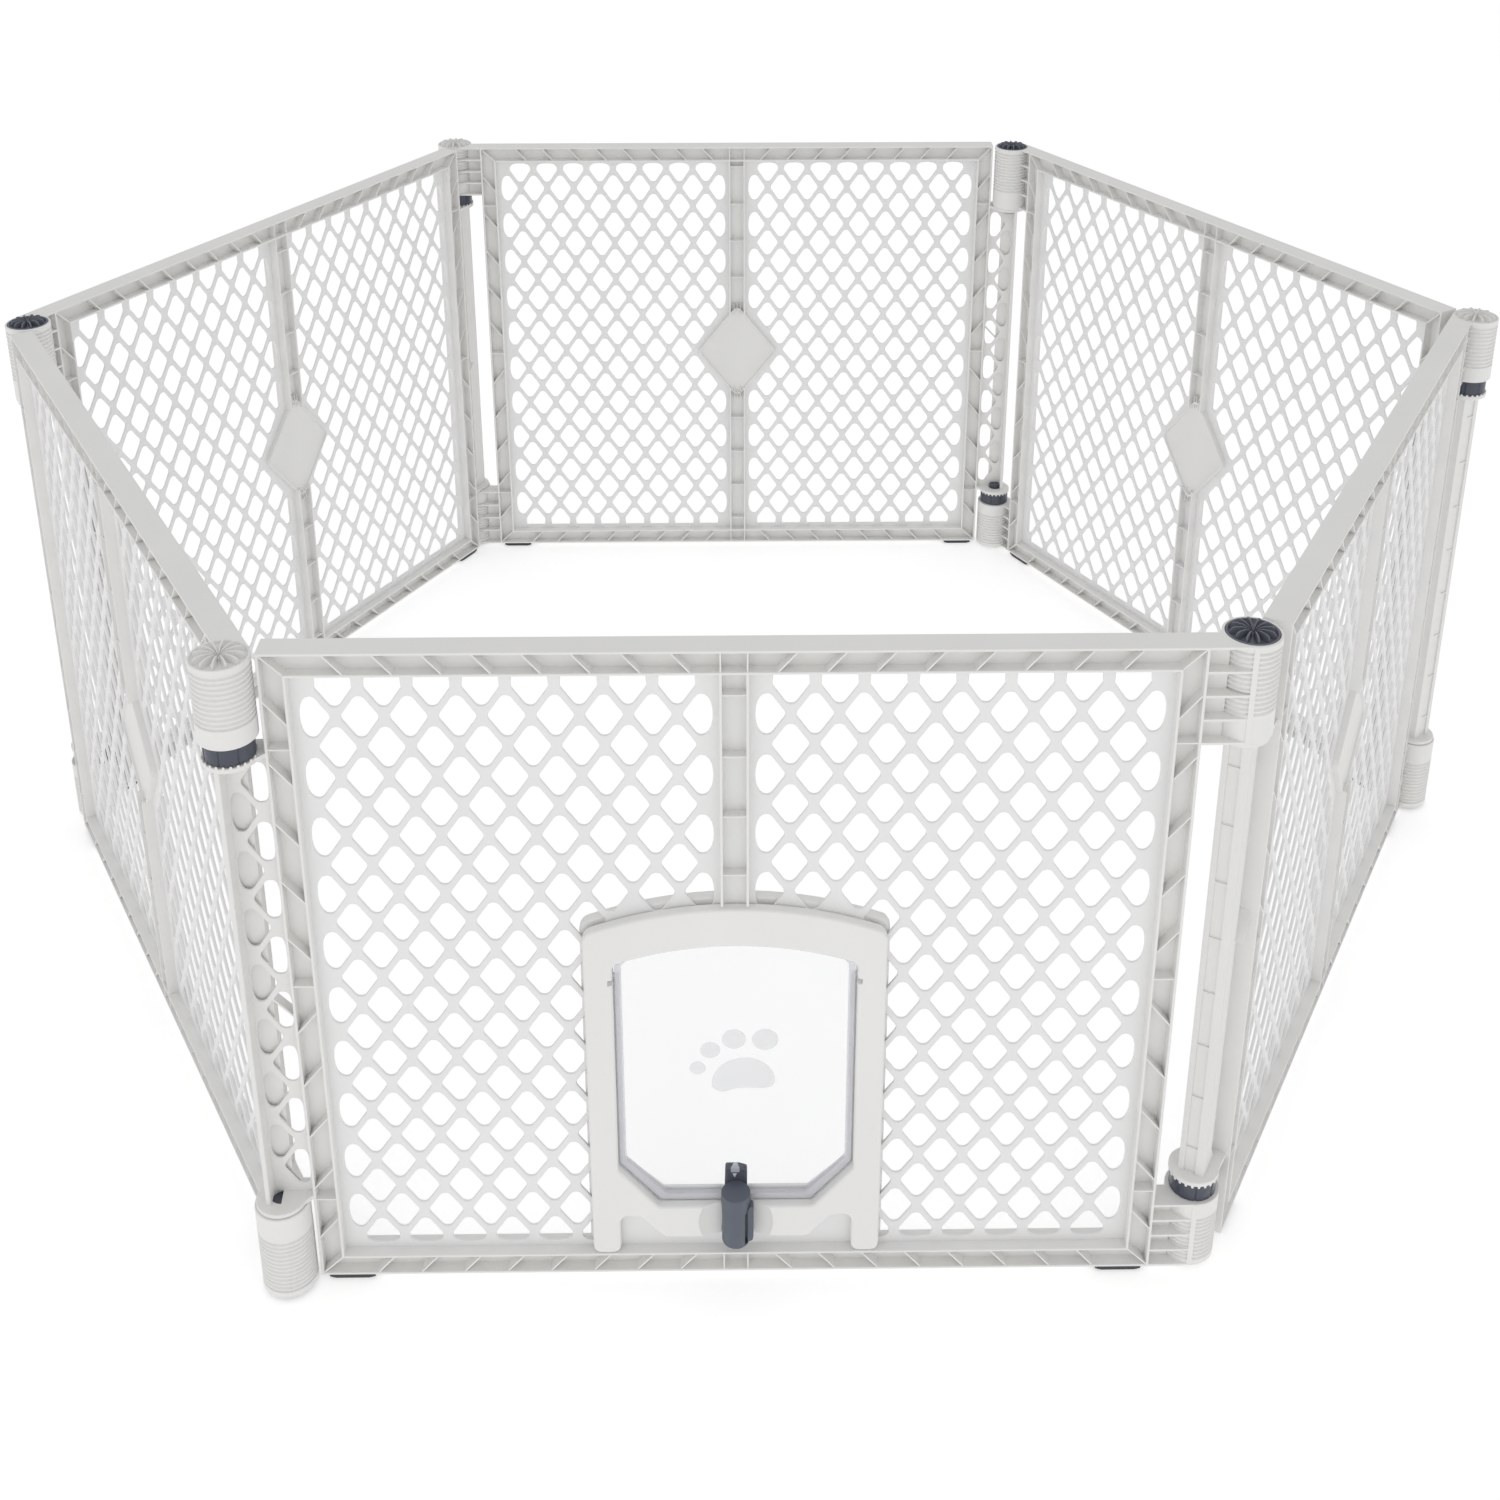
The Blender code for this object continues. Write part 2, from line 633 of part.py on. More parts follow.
def pin_sockets():
    """Slots for the flap's stub pins, across the whole thickness of the door frame."""
    slots = []
    half = FLAP_PIN_RADIUS + FLAP_PIN_CLEARANCE
    for side in (-1, 1):
        near = CENTRE_X + side * (OPENING_HALF_WIDTH - 2 * OVERCUT)
        far = CENTRE_X + side * (OPENING_HALF_WIDTH + FLAP_PIN_REACH)
        low = (min(near, far), -half, FLAP_PIVOT_HEIGHT - half)
        high = (max(near, far), half, FLAP_PIVOT_HEIGHT + half)
        slots.append(box_mesh("pin_socket", low, high))
    return slots


def dial_mesh():
    """The latch dial: a drum with a finger grip along one side."""
    drum = cylinder_mesh("latch_dial", 0.0, 0.0, DIAL_BOTTOM, DIAL_TOP, DIAL_RADIUS)
    grip = box_mesh(
        "grip",
        (DIAL_RADIUS / 2, -DIAL_GRIP_WIDTH, DIAL_BOTTOM + DIAL_GRIP_STEP),
        (DIAL_GRIP_REACH, 0.0, DIAL_TOP - 4 * DIAL_GRIP_STEP),
    )
    return combine("latch_dial", drum, [grip], [])


def stop_mesh():
    """The rear stop, which stands behind the flap's lower edge."""
    low = (CENTRE_X - STOP_WIDTH / 2, FLAP_RIM_DEPTH / 2 + STOP_GAP, OPENING_BOTTOM + GAP)
    high = (CENTRE_X + STOP_WIDTH / 2, HALF_THICKNESS - STOP_INSET, STOP_TOP)
    return box_mesh("latch_stop", low, high)


def cap_mesh(spigot):
    """The hinge cap: a domed head, a shank through the barrel and, if wanted, a spigot into the post."""
    top = PANEL_HEIGHT
    head = top - CAP_SEAT_DEPTH + GAP
    end = top - CAP_BARREL_LENGTH + HINGE_GAP
    shank = BORE_RADIUS - GAP
    profile = [
        (0.0, top + CAP_DOME),
        (CAP_RADIUS / 2, top + CAP_DOME * 0.8),
        (CAP_RADIUS, top - CAP_EDGE),
        (CAP_RADIUS, head),
        (shank, head),
        (shank, end),
    ]
    if spigot:
        profile += [(SPIGOT_RADIUS, end), (SPIGOT_RADIUS, end - SPIGOT_LENGTH)]
    profile.append((0.0, profile[-1][1]))
    return turned_mesh("hinge_cap", profile)


def ring_mesh(spigot):
    """The lock ring: a collar between barrel and post, a shank in the barrel and perhaps a spigot."""
    low = RING_BARREL_LENGTH + GAP
    high = POST_BOTTOM - HINGE_GAP
    shank = BORE_RADIUS - GAP
    profile = [
        (RING_RADIUS, high),
        (RING_RADIUS, low),
        (shank, low),
        (shank, RING_BARREL_LENGTH - RING_SHANK_LENGTH),
        (0.0, RING_BARREL_LENGTH - RING_SHANK_LENGTH),
    ]
    if spigot:
        tip = high + SPIGOT_LENGTH
        start = [(0.0, tip), (SPIGOT_RADIUS, tip), (SPIGOT_RADIUS, high)]
    else:
        start = [(0.0, high)]
    return turned_mesh("lock_ring", start + profile)


def foot_mesh():
    """A rubber foot with tapered ends, under a bottom rail."""
    low = (0.0, -FOOT_WIDTH / 2, -FOOT_HEIGHT)
    high = (FOOT_LENGTH, FOOT_WIDTH / 2, -GAP)
    mesh = box_mesh("foot", low, high)
    for vertex in mesh.vertices:
        if vertex.co.z < -FOOT_HEIGHT / 2:
            inward = 1 if vertex.co.x < FOOT_LENGTH / 2 else -1
            vertex.co.x += inward * FOOT_TAPER
    return mesh


class Panel:
    """One panel's place: an empty on its post axis, and the turn that its moulding has."""

    def __init__(self, index):
        self.name = PANELS[index]
        self.flipped = index % 2 == 1
        angle = math.radians(240 + 60 * index)
        radius = DARK_CORNER_RADIUS if self.flipped else WHITE_CORNER_RADIUS
        self.empty = bpy.data.objects.new(f"{self.name}_hinge_axis", None)
        PARTS.objects.link(self.empty)
        self.empty.location = (
            CENTRE_SHIFT + radius * math.cos(angle),
            radius * math.sin(angle),
            FOOT_HEIGHT,
        )
        self.empty.rotation_euler = (0.0, 0.0, math.radians(60 * index))

    def place(self, name, mesh, material, x=0.0, y=0.0, upright=False):
        """Adds a piece whose mesh is in panel coordinates, moved by (x, y) along the moulding."""
        obj = add_object(name, mesh, PARTS)
        obj.parent = self.empty
        if self.flipped and not upright:
            obj.rotation_euler = (math.pi, 0.0, 0.0)
            obj.location = (x, -AXIS_Y - y, PANEL_HEIGHT)
        else:
            side = -1 if self.flipped else 1
            obj.location = (x, side * AXIS_Y + y, 0.0)
        obj.data.materials.clear()
        obj.data.materials.append(material)
        obj.data.shade_smooth()
        obj.data.set_sharp_from_angle(angle=math.radians(SHARP_ANGLE))
        return obj


def build_panel(index, meshes):
    """One panel with its cap, lock ring, feet and badge plate."""
    panel = Panel(index)
    kind = "front" if index == 0 else "plain"
    hinged = index != len(PANELS) - 1

    def add(part, mesh, colour, roughness, **where):
        name = f"{panel.name}_{part}"
        panel.place(name, mesh, new_material(name, colour, roughness), **where)

    add("frame", meshes[f"{kind}_frame"].copy(), OFF_WHITE, PLASTIC_ROUGHNESS)
    add("lattice", meshes[f"{kind}_lattice"].copy(), OFF_WHITE, PLASTIC_ROUGHNESS)
    if index != 0:
        add("badge_plate", meshes["badge"].copy(), PALE_GREY, PLASTIC_ROUGHNESS)
    add("hinge_cap", cap_mesh(hinged), DARK_SLATE, SLATE_ROUGHNESS, x=BARREL_X, y=AXIS_Y)
    add("lock_ring", ring_mesh(hinged), DARK_SLATE, SLATE_ROUGHNESS, x=BARREL_X, y=AXIS_Y)
    near, far = STILE_START + FOOT_INSET, STILE_END - FOOT_INSET - FOOT_LENGTH
    add("foot_near", meshes["foot"].copy(), BLACK_RUBBER, RUBBER_ROUGHNESS, x=near, upright=True)
    add("foot_far", meshes["foot"].copy(), BLACK_RUBBER, RUBBER_ROUGHNESS, x=far, upright=True)
    return panel


def move_origin(obj, point):
    """Puts an object's origin at a point given in its own coordinates, without moving its shape."""
    shift = Vector(point)
    for vertex in obj.data.vertices:
        vertex.co -= shift
    obj.location = Vector(obj.location) + shift


def build_door(panel):
    """The pet door in the front panel: two frame halves, the flap, the latch dial and the rear stop."""

    def add(name, mesh, colour, roughness, **where):
        return panel.place(name, mesh, new_material(name, colour, roughness), **where)

    outer = combine("door_outer_frame", outer_trim_mesh(), [], pin_sockets())
    add("door_outer_frame", outer, OFF_WHITE, PLASTIC_ROUGHNESS)
    inner = combine("door_inner_frame", inner_trim_mesh(), [], pin_sockets())
    add("door_inner_frame", inner, OFF_WHITE, PLASTIC_ROUGHNESS)
    flap = add("door_flap", flap_mesh(), CLEAR, CLEAR_ROUGHNESS)
    move_origin(flap, (CENTRE_X, 0.0, FLAP_PIVOT_HEIGHT))
    add("latch_dial", dial_mesh(), DARK_SLATE, SLATE_ROUGHNESS, x=CENTRE_X, y=DIAL_AXIS_Y)
    add("latch_stop", stop_mesh(), DARK_SLATE, SLATE_ROUGHNESS)


def build():
    front_lattice = combine("front_lattice", front_lattice_mesh(), [], pin_sockets())
    meshes = {
        "plain_frame": frame_mesh("plain_frame", plain_spans()),
        "front_frame": frame_mesh("front_frame", door_spans()),
        "plain_lattice": plain_lattice_mesh(),
        "front_lattice": front_lattice,
        "badge": badge_mesh(),
        "foot": foot_mesh(),
    }
    panels = [build_panel(index, meshes) for index in range(len(PANELS))]
    build_door(panels[0])


clear_scene()
PARTS = new_collection("pet_playpen")
HELPERS = new_collection("cutters", hidden=True)
build()
bpy.context.view_layer.update()
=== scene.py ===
"""Looks of the pet playpen: six moulded lattice panels in a hexagon, one with a pet door."""

import math

import bmesh
import bpy
from mathutils import Matrix, Vector


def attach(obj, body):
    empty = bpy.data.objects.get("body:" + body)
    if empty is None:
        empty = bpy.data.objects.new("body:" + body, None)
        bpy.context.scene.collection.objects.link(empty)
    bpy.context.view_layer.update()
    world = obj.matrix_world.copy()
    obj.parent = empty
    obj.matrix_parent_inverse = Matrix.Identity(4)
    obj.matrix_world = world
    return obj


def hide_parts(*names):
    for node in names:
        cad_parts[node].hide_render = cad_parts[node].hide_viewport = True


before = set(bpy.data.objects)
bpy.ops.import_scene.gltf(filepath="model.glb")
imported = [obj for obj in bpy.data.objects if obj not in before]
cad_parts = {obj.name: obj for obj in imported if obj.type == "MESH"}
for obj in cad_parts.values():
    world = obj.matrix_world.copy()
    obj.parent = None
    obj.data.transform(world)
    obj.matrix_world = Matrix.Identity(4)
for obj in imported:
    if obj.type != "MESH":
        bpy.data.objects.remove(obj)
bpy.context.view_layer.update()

# Sizes of the moulding, in metres. Panel coordinates: x from the post axis, y from mid-thickness
# (outside is -y), z from the bottom edge.
HEIGHT = 0.6604
MIDDLE = HEIGHT / 2
HALF_DEPTH = 0.0125
STILE_START = 0.028
STILE_END = 0.793
CENTRE_X = (STILE_START + STILE_END) / 2
BARREL_X = 0.833
AXIS_Y = 0.013
FRAME_WIDTH = 0.0224
WALL = 0.0024
WEB_HALF = 0.0012
RIB = 0.0018
RIB_DEPTH = HALF_DEPTH - 0.0007
BARREL_RADIUS = 0.025
CAP_BARREL = 0.092
RING_BARREL = 0.074
BORE = 0.0150
CAP_RADIUS = 0.0222
CAP_SEAT = 0.006
DISH_DEPTH = 0.0024
BAYS = 4
BAY_DEPTH = 0.0123
BAY_SETBACK = 0.0001
RING_RADIUS = 0.0214
DISC_RADIUS = 0.0230
DISC_THICKNESS = 0.0045
POST_LOW = 0.0925
POST_HIGH = HEIGHT - POST_LOW
SPIGOT = 0.0085
SPIGOT_REACH = 0.011
SHANK = BORE - 0.0004
FOOT_HEIGHT = 0.005
FOOT_LENGTH = 0.042
FOOT_HALF_WIDTH = 0.0122
FOOT_INSET = 0.007

# How far a turned edge is eased
EASE = 0.0006

# Ribs in the rails, the stiles and the mullion
RAIL_RIBS = 8
RAIL_RIB_START = 0.052
RAIL_RIB_LEAN = 0.017
STILE_RIBS = 5
STILE_RIB_START = 0.0441
STILE_RIB_LEAN = 0.0245
STRAIGHT_RIB = 0.0905
CROSS_RIB_DROP = 0.0058
CROSS_RIB_ROOM = 0.008

# Post: a channel seen from above, from its left front corner to its back
POST_LEFT = -0.0115
POST_FRONT = -0.0245
POST_BACK = -0.0006
SHAFT_LOW = POST_LOW + DISC_THICKNESS - 0.0005
SHAFT_HIGH = POST_HIGH - DISC_THICKNESS + 0.0005
POST_HOLE_ROOM = 0.023
DISC_TEETH = 24
DISC_TIE = [
    (0.0020, -AXIS_Y - DISC_RADIUS + 0.0004),
    (0.0140, -AXIS_Y - 0.0180),
    (0.0230, -0.0185),
    (STILE_START + 0.001, -0.0122),
    (STILE_START + 0.001, 0.0090),
    (0.0060, 0.0082),
    (0.0, 0.0),
]

# A barrel's ridge, as shares of its depth and of the pitch, and an end fin's sections, as (radius,
# half thickness, share of the height)
RIDGE = [(1.0, 0.10), (1.0, 0.38), (0.30, 0.50), (0.0, 0.66), (0.10, 0.88)]
FIN = [(0.0022, 0.0003, 0.30), (0.0042, 0.0006, 0.72), (0.0085, 0.0009, 0.96), (0.0145, 0.0013, 1.00)]

# Corners of the pen
CORNER_TURN = math.radians(60)
FIRST_CORNER = math.radians(240)
SLANT = math.cos(CORNER_TURN / 2)
UPRIGHT_RADIUS = BARREL_X + AXIS_Y / SLANT
FLIPPED_RADIUS = BARREL_X - AXIS_Y / SLANT
CENTRE_SHIFT = (FLIPPED_RADIUS - UPRIGHT_RADIUS) / 2

# Lattice: staggered rounded diamonds, in long and short rows on each side of the mullion
LONG_ROW = 9
LAST_ROW = 10
PITCH_X = 0.0398
PITCH_Z = 0.05865
HOLE_HALF_WIDTH = 0.01525
HOLE_HALF_HEIGHT = 0.0196
HOLE_CORNER = 0.00607
EDGE_HOLE_REACH = 0.0091
LATTICE_HALF = 0.0014
LATTICE_MARGIN = FRAME_WIDTH - 0.0008
FIRST_COLUMN = 0.0375
MULLION_HALF = 0.01215
BADGE_HALF_WIDTH = 0.058
BADGE_HALF_HEIGHT = 0.071
BADGE_MARGIN_X = 0.011475
BADGE_MARGIN_Z = 0.014025
BADGE_DEPTH = 0.0085

# Pet door
DOOR_HALF_WIDTH = 0.131
DOOR_TOP = 0.4075
DOOR_ARCH = 0.344
OPENING_HALF = 0.106
OPENING_TOP = 0.369
OPENING_BOTTOM = 0.077
OPENING_ARCH = 0.300
ARCH_STEPS = 24
ARCH_SHOULDER = 0.004
CHAMFER_X = 0.036
CHAMFER_Z = 0.044
LEG_WIDTH = 0.0255
CROSSBAR_BOTTOM = 0.041
TRIM_FOOT = FRAME_WIDTH + 0.0004
TRIM_NEAR = 0.0017
TRIM_FAR = 0.0122
FLAP_CLEARANCE = 0.0012
FLAP_RIM = 0.0058
FLAP_RIM_HALF = 0.0029
FLAP_HALF = 0.0014
NOTCH_HALF = 0.0130
NOTCH_TOP = 0.0968
PIVOT_HEIGHT = 0.331
DIAL_Y = -0.0105
DIAL_RADIUS = 0.0133
DIAL_LOW = 0.0362
DIAL_HIGH = 0.0943

# Paw print, from the panel's left edge: toes as (x, z, radius), and the pad's outline
PAW_TOES = [
    (0.3490, 0.2287, 0.0073), (0.3603, 0.2485, 0.0090),
    (0.3813, 0.2604, 0.0108), (0.4088, 0.2597, 0.0118),
]
PAW_PAD = [
    (0.3610, 0.2080), (0.3660, 0.2020), (0.3740, 0.2012), (0.3810, 0.2050), (0.3900, 0.2058),
    (0.4080, 0.2050), (0.4150, 0.2065), (0.4182, 0.2130), (0.4170, 0.2220), (0.4110, 0.2320),
    (0.4010, 0.2385), (0.3890, 0.2400), (0.3770, 0.2370), (0.3680, 0.2300), (0.3620, 0.2190),
]

# Stage: lamps as (name, place, size, power, colour), and the camera
FLOOR_SIZE = 14.0
FLOOR_GLOW = 0.38
WORLD_STRENGTH = 0.69
LAMP_TARGET = (0.0, 0.0, 0.3)
LAMPS = [
    ("key", (-1.8, -4.0, 2.6), 2.4, 12.0, (1.0, 0.99, 0.975)),
    ("fill", (2.4, -3.6, 2.0), 2.6, 5.0, (1.0, 0.995, 0.985)),
    ("top", (0.0, 0.6, 3.8), 3.4, 6.0, (0.88, 0.93, 1.0)),
]
CAMERA_PLACE = (-0.0333, -2.0800, 1.4713)
LOOK_DOWN = 21.94
LOOK_RIGHT = 0.75
LENS = 46.56
LENS_SHIFT = -0.27

# Angles in degrees
SHARP = 35
CARVED_SHARP = 32
TRIM_SHARP = 40
BEVELLED = 40

PANELS = ["front", "right_front", "right_back", "back", "left_back", "left_front"]


# ---------------- shapes


def band(shape, lower, upper):
    """Faces all round between two rings, either of which may be a single point."""
    count = max(len(lower), len(upper))
    for i in range(count):
        j = (i + 1) % count
        near = [lower[i % len(lower)], lower[j % len(lower)]]
        far = [upper[j % len(upper)], upper[i % len(upper)]]
        shape.faces.new(list(dict.fromkeys(near + far)))


def loft(shape, loops):
    """A closed solid through loops that all have the same number of corners."""
    rings = [[shape.verts.new(point) for point in loop] for loop in loops]
    for lower, upper in zip(rings, rings[1:]):
        band(shape, lower, upper)
    shape.faces.new(rings[0])
    shape.faces.new(rings[-1])


def block(shape, low, high):
    """A box between two opposite corners."""
    (x0, y0, z0), (x1, y1, z1) = low, high
    corners = [(x0, y0), (x1, y0), (x1, y1), (x0, y1)]
    loft(shape, [[(x, y, z) for x, y in corners] for z in (z0, z1)])


def slab(shape, outline_xy, low_z, high_z):
    """A flat piece from an outline seen from above."""
    loft(shape, [[(x, y, z) for x, y in outline_xy] for z in (low_z, high_z)])


def rib(shape, start, end, root_y, edge_y, thickness=RIB, taper=0.72):
    """A thin rib along a line in the panel's plane, thinner at its edge than at its root."""
    start, end = Vector(start), Vector(end)
    along = (end - start).normalized()
    across = Vector((-along.y, along.x))
    loops = []
    for y, half in ((root_y, thickness / 2), (edge_y, thickness * taper / 2)):
        aside = across * half
        corners = [start - aside, end - aside, end + aside, start + aside]
        loops.append([(corner.x, y, corner.y) for corner in corners])
    loft(shape, loops)


def turned(shape, profile, x=0.0, y=0.0, segments=48, closed=False, lobes=None):
    """A turned solid on an upright axis, from (radius, z) pairs. lobes(angle) scales the radius."""
    rings = []
    for radius, z in profile:
        if radius == 0.0:
            rings.append([shape.verts.new((x, y, z))])
            continue
        ring = []
        for step in range(segments):
            angle = 2 * math.pi * step / segments
            reach = radius * (lobes(angle) if lobes else 1.0)
            point = (x + reach * math.cos(angle), y + reach * math.sin(angle), z)
            ring.append(shape.verts.new(point))
        rings.append(ring)
    for lower, upper in zip(rings, rings[1:]):
        band(shape, lower, upper)
    if closed:
        band(shape, rings[-1], rings[0])


def spoke(angle):
    """Two directions seen from above: outwards at an angle, and to its left."""
    out = Vector((math.cos(angle), math.sin(angle)))
    return out, Vector((-out.y, out.x))


def signed_area(points):
    """The outline's area, above zero when it runs anticlockwise."""
    return sum(a[0] * b[1] - b[0] * a[1] for a, b in zip(points, points[1:] + points[:1])) / 2


def moved_in(points, distance, least_spread=0.35):
    """The outline moved to its left by distance, with mitred corners."""
    moved = []
    count = len(points)
    for i in range(count):
        before = Vector(points[i]) - Vector(points[i - 1])
        after = Vector(points[(i + 1) % count]) - Vector(points[i])
        before.normalize()
        after.normalize()
        first, second = Vector((-before.y, before.x)), Vector((-after.y, after.x))
        mitre = (first + second) / max(least_spread, 1 + first.dot(second))
        moved.append(tuple(Vector(points[i]) + mitre * distance))
    return moved


def filled(outlines):
    """Triangles, as triples of corner numbers, over the first outline, with the others as holes."""
    fill = bmesh.new()
    for outline in outlines:
        corners = [fill.verts.new((x, 0.0, z)) for x, z in outline]
        for i, corner in enumerate(corners):
            fill.edges.new((corner, corners[(i + 1) % len(corners)]))
    fill.verts.index_update()
    bmesh.ops.triangle_fill(
        fill, edges=fill.edges, use_beauty=True, use_dissolve=False, normal=(0, -1, 0)
    )
    triangles = [[vertex.index for vertex in face.verts] for face in fill.faces]
    fill.free()
    return triangles


def plate(shape, outlines, low_y, high_y, bevel=0.0005, steps=1):
    """A flat plate in the panel's plane. The first outline is its edge, the others are holes."""
    loops = []
    for number, outline in enumerate(outlines):
        anticlockwise = signed_area(outline) > 0
        loops.append(outline if anticlockwise == (number == 0) else outline[::-1])
    turns = [math.pi / 2 * step / steps for step in range(steps + 1)]
    stations = [(bevel * (1 - math.sin(turn)), bevel * (1 - math.cos(turn))) for turn in turns]
    rows = [(shift, high_y - drop) for shift, drop in stations]
    rows += [(shift, low_y + drop) for shift, drop in reversed(stations)]
    high_face, low_face = [], []
    for loop in loops:
        rings = []
        for shift, y in rows:
            points = moved_in(loop, shift) if shift > 0 else loop
            rings.append([shape.verts.new((x, y, z)) for x, z in points])
        for lower, upper in zip(rings, rings[1:]):
            band(shape, lower, upper)
        high_face += rings[0]
        low_face += rings[-1]
    triangles = filled([moved_in(loop, bevel) for loop in loops])
    for corners in (high_face, low_face):
        for triangle in triangles:
            shape.faces.new([corners[i] for i in triangle])


def added(name, data):
    """A new object in the scene."""
    obj = bpy.data.objects.new(name, data)
    bpy.context.scene.collection.objects.link(obj)
    return obj


def shaded(mesh, sharp):
    """The mesh shaded smooth, with edges sharp above an angle."""
    mesh.shade_smooth()
    mesh.set_sharp_from_angle(angle=math.radians(sharp))
    return mesh


def finished(name, shape, sharp=SHARP):
    """The mesh of a shape, with outward normals."""
    bmesh.ops.recalc_face_normals(shape, faces=shape.faces)
    mesh = bpy.data.meshes.new(name)
    shape.to_mesh(mesh)
    shape.free()
    return shaded(mesh, sharp)


def plate_mesh(name, outlines, low_y, high_y, bevel=0.0005, steps=1, sharp=SHARP):
    """The mesh of one flat plate."""
    shape = bmesh.new()
    plate(shape, outlines, low_y, high_y, bevel, steps)
    return finished(name, shape, sharp)


def softened(shape, width=0.0003, segments=1):
    """Bevels every sharp edge of the shape's solids."""
    least = math.radians(BEVELLED)
    edges = [e for e in shape.edges if len(e.link_faces) == 2 and e.calc_face_angle(0.0) > least]
    bmesh.ops.bevel(
        shape, geom=edges, offset=width, segments=segments, affect="EDGES", clamp_overlap=True
    )


def joined(*shapes):
    """One shape from several."""
    whole = bmesh.new()
    for shape in shapes:
        part = bpy.data.meshes.new("part")
        shape.to_mesh(part)
        shape.free()
        whole.from_mesh(part)
        bpy.data.meshes.remove(part)
    return whole


def carved(name, mesh, cutters):
    """The mesh with closed cutter meshes taken away."""
    target = added(name, mesh)
    helpers = [target]
    for cutter in cutters:
        tool = added("cutter", cutter)
        step = target.modifiers.new("cut", "BOOLEAN")
        step.operation = "DIFFERENCE"
        step.solver = "EXACT"
        step.object = tool
        helpers.append(tool)
    bpy.context.view_layer.update()
    graph = bpy.context.evaluated_depsgraph_get()
    result = bpy.data.meshes.new_from_object(target.evaluated_get(graph))
    for helper in helpers:
        bpy.data.objects.remove(helper, do_unlink=True)
    result.name = name
    return shaded(result, CARVED_SHARP)


# ---------------- outlines


def rectangle(x0, z0, x1, z1):
    return [(x0, z0), (x1, z0), (x1, z1), (x0, z1)]


def panel_rectangle(inset):
    return rectangle(STILE_START + inset, inset, STILE_END - inset, HEIGHT - inset)


def arc(x, z, radius, start, end, steps):
    """Points along an arc, with both its ends. Its angles are in radians."""
    angles = [start + (end - start) * i / steps for i in range(steps + 1)]
    return [(x + radius * math.cos(angle), z + radius * math.sin(angle)) for angle in angles]


def circle(x, z, radius, steps):
    return arc(x, z, radius, 0.0, 2 * math.pi, steps)[:-1]


def diamond_quarter():
    """A quarter of a rounded diamond: an arc at its side point and one at its upper point."""
    slope = math.atan2(PITCH_X, PITCH_Z)
    side = arc(HOLE_HALF_WIDTH - HOLE_CORNER, 0.0, HOLE_CORNER, 0.0, slope, 3)
    return side + arc(0.0, HOLE_HALF_HEIGHT - HOLE_CORNER, HOLE_CORNER, slope, math.pi / 2, 4)


def full_quarter(half_width, half_height, fullness, steps=5):
    """A quarter of an oval, which is squarer the greater its fullness."""
    points = []
    for i in range(steps + 1):
        angle = math.pi / 2 * i / steps
        x = half_width * math.cos(angle) ** (2 / fullness) if i < steps else 0.0
        z = half_height * math.sin(angle) ** (2 / fullness)
        points.append((x, z))
    return points


DIAMOND = diamond_quarter()
EDGE_QUARTER = full_quarter(EDGE_HOLE_REACH, HOLE_HALF_HEIGHT, 2.2)
TOP_QUARTER = full_quarter(0.0150, 0.0138, 3.6)
BOTTOM_QUARTER = full_quarter(0.0155, 0.0095, 2.6)
POST_FAR_QUARTER = full_quarter(0.0072, HOLE_HALF_HEIGHT, 2.4)
POST_NEAR_QUARTER = full_quarter(0.0072, HOLE_HALF_HEIGHT, 3.2)


def hole(x, z, right_up, left_up, left_down, right_down):
    """A lattice hole from its four quarters, each given from its side point to its tip."""
    points = [(x + px, z + pz) for px, pz in right_up]
    points += [(x - px, z + pz) for px, pz in reversed(left_up[:-1])]
    points += [(x - px, z - pz) for px, pz in left_down[1:]]
    points += [(x + px, z - pz) for px, pz in reversed(right_down[1:-1])]
    return points


def lattice_holes():
    """All holes of a panel, as (centre x, centre z, outline)."""
    holes = []
    for row in range(-LAST_ROW, LAST_ROW + 1):
        z = MIDDLE + row * PITCH_Z / 2
        long_row = row % 2 == 1
        count = LONG_ROW if long_row else LONG_ROW - 1
        first = FIRST_COLUMN if long_row else FIRST_COLUMN + PITCH_X / 2
        for column in range(count):
            x = STILE_START + first + column * PITCH_X
            left = EDGE_QUARTER if long_row and column == 0 else DIAMOND
            right = EDGE_QUARTER if long_row and column == count - 1 else DIAMOND
            quarters = [right, left, left, right]
            if row == LAST_ROW:
                quarters[0] = quarters[1] = TOP_QUARTER
            if row == -LAST_ROW:
                quarters[2] = quarters[3] = BOTTOM_QUARTER
            outline = hole(x, z, *quarters)
            holes.append((x, z, outline))
            opposite = [(2 * CENTRE_X - px, pz) for px, pz in reversed(outline)]
            holes.append((2 * CENTRE_X - x, z, opposite))
    return holes


def clipped(points, inside):
    """The part of a convex outline where inside(point) is at least zero."""
    kept = []
    for a, b in zip(points, points[1:] + points[:1]):
        at_a, at_b = inside(a), inside(b)
        if at_a >= 0:
            kept.append(a)
        if (at_a >= 0) != (at_b >= 0):
            share = at_a / (at_a - at_b)
            kept.append((a[0] + (b[0] - a[0]) * share, a[1] + (b[1] - a[1]) * share))
    return kept


def rounded(points, radius, steps=4, least=14.0):
    """The outline with its sharp corners rounded."""
    smooth = []
    count = len(points)
    for i in range(count):
        corner = Vector(points[i])
        back = Vector(points[i - 1]) - corner
        ahead = Vector(points[(i + 1) % count]) - corner
        turn = math.degrees(back.angle(-ahead))
        if turn < least:
            smooth.append(tuple(corner))
            continue
        room = 0.48 * min(back.length, ahead.length)
        reach = min(radius * math.tan(math.radians(turn) / 2), room)
        start = corner + back.normalized() * reach
        end = corner + ahead.normalized() * reach
        for step in range(steps + 1):
            t = step / steps
            smooth.append(tuple(start * (1 - t) ** 2 + corner * 2 * t * (1 - t) + end * t * t))
    return smooth


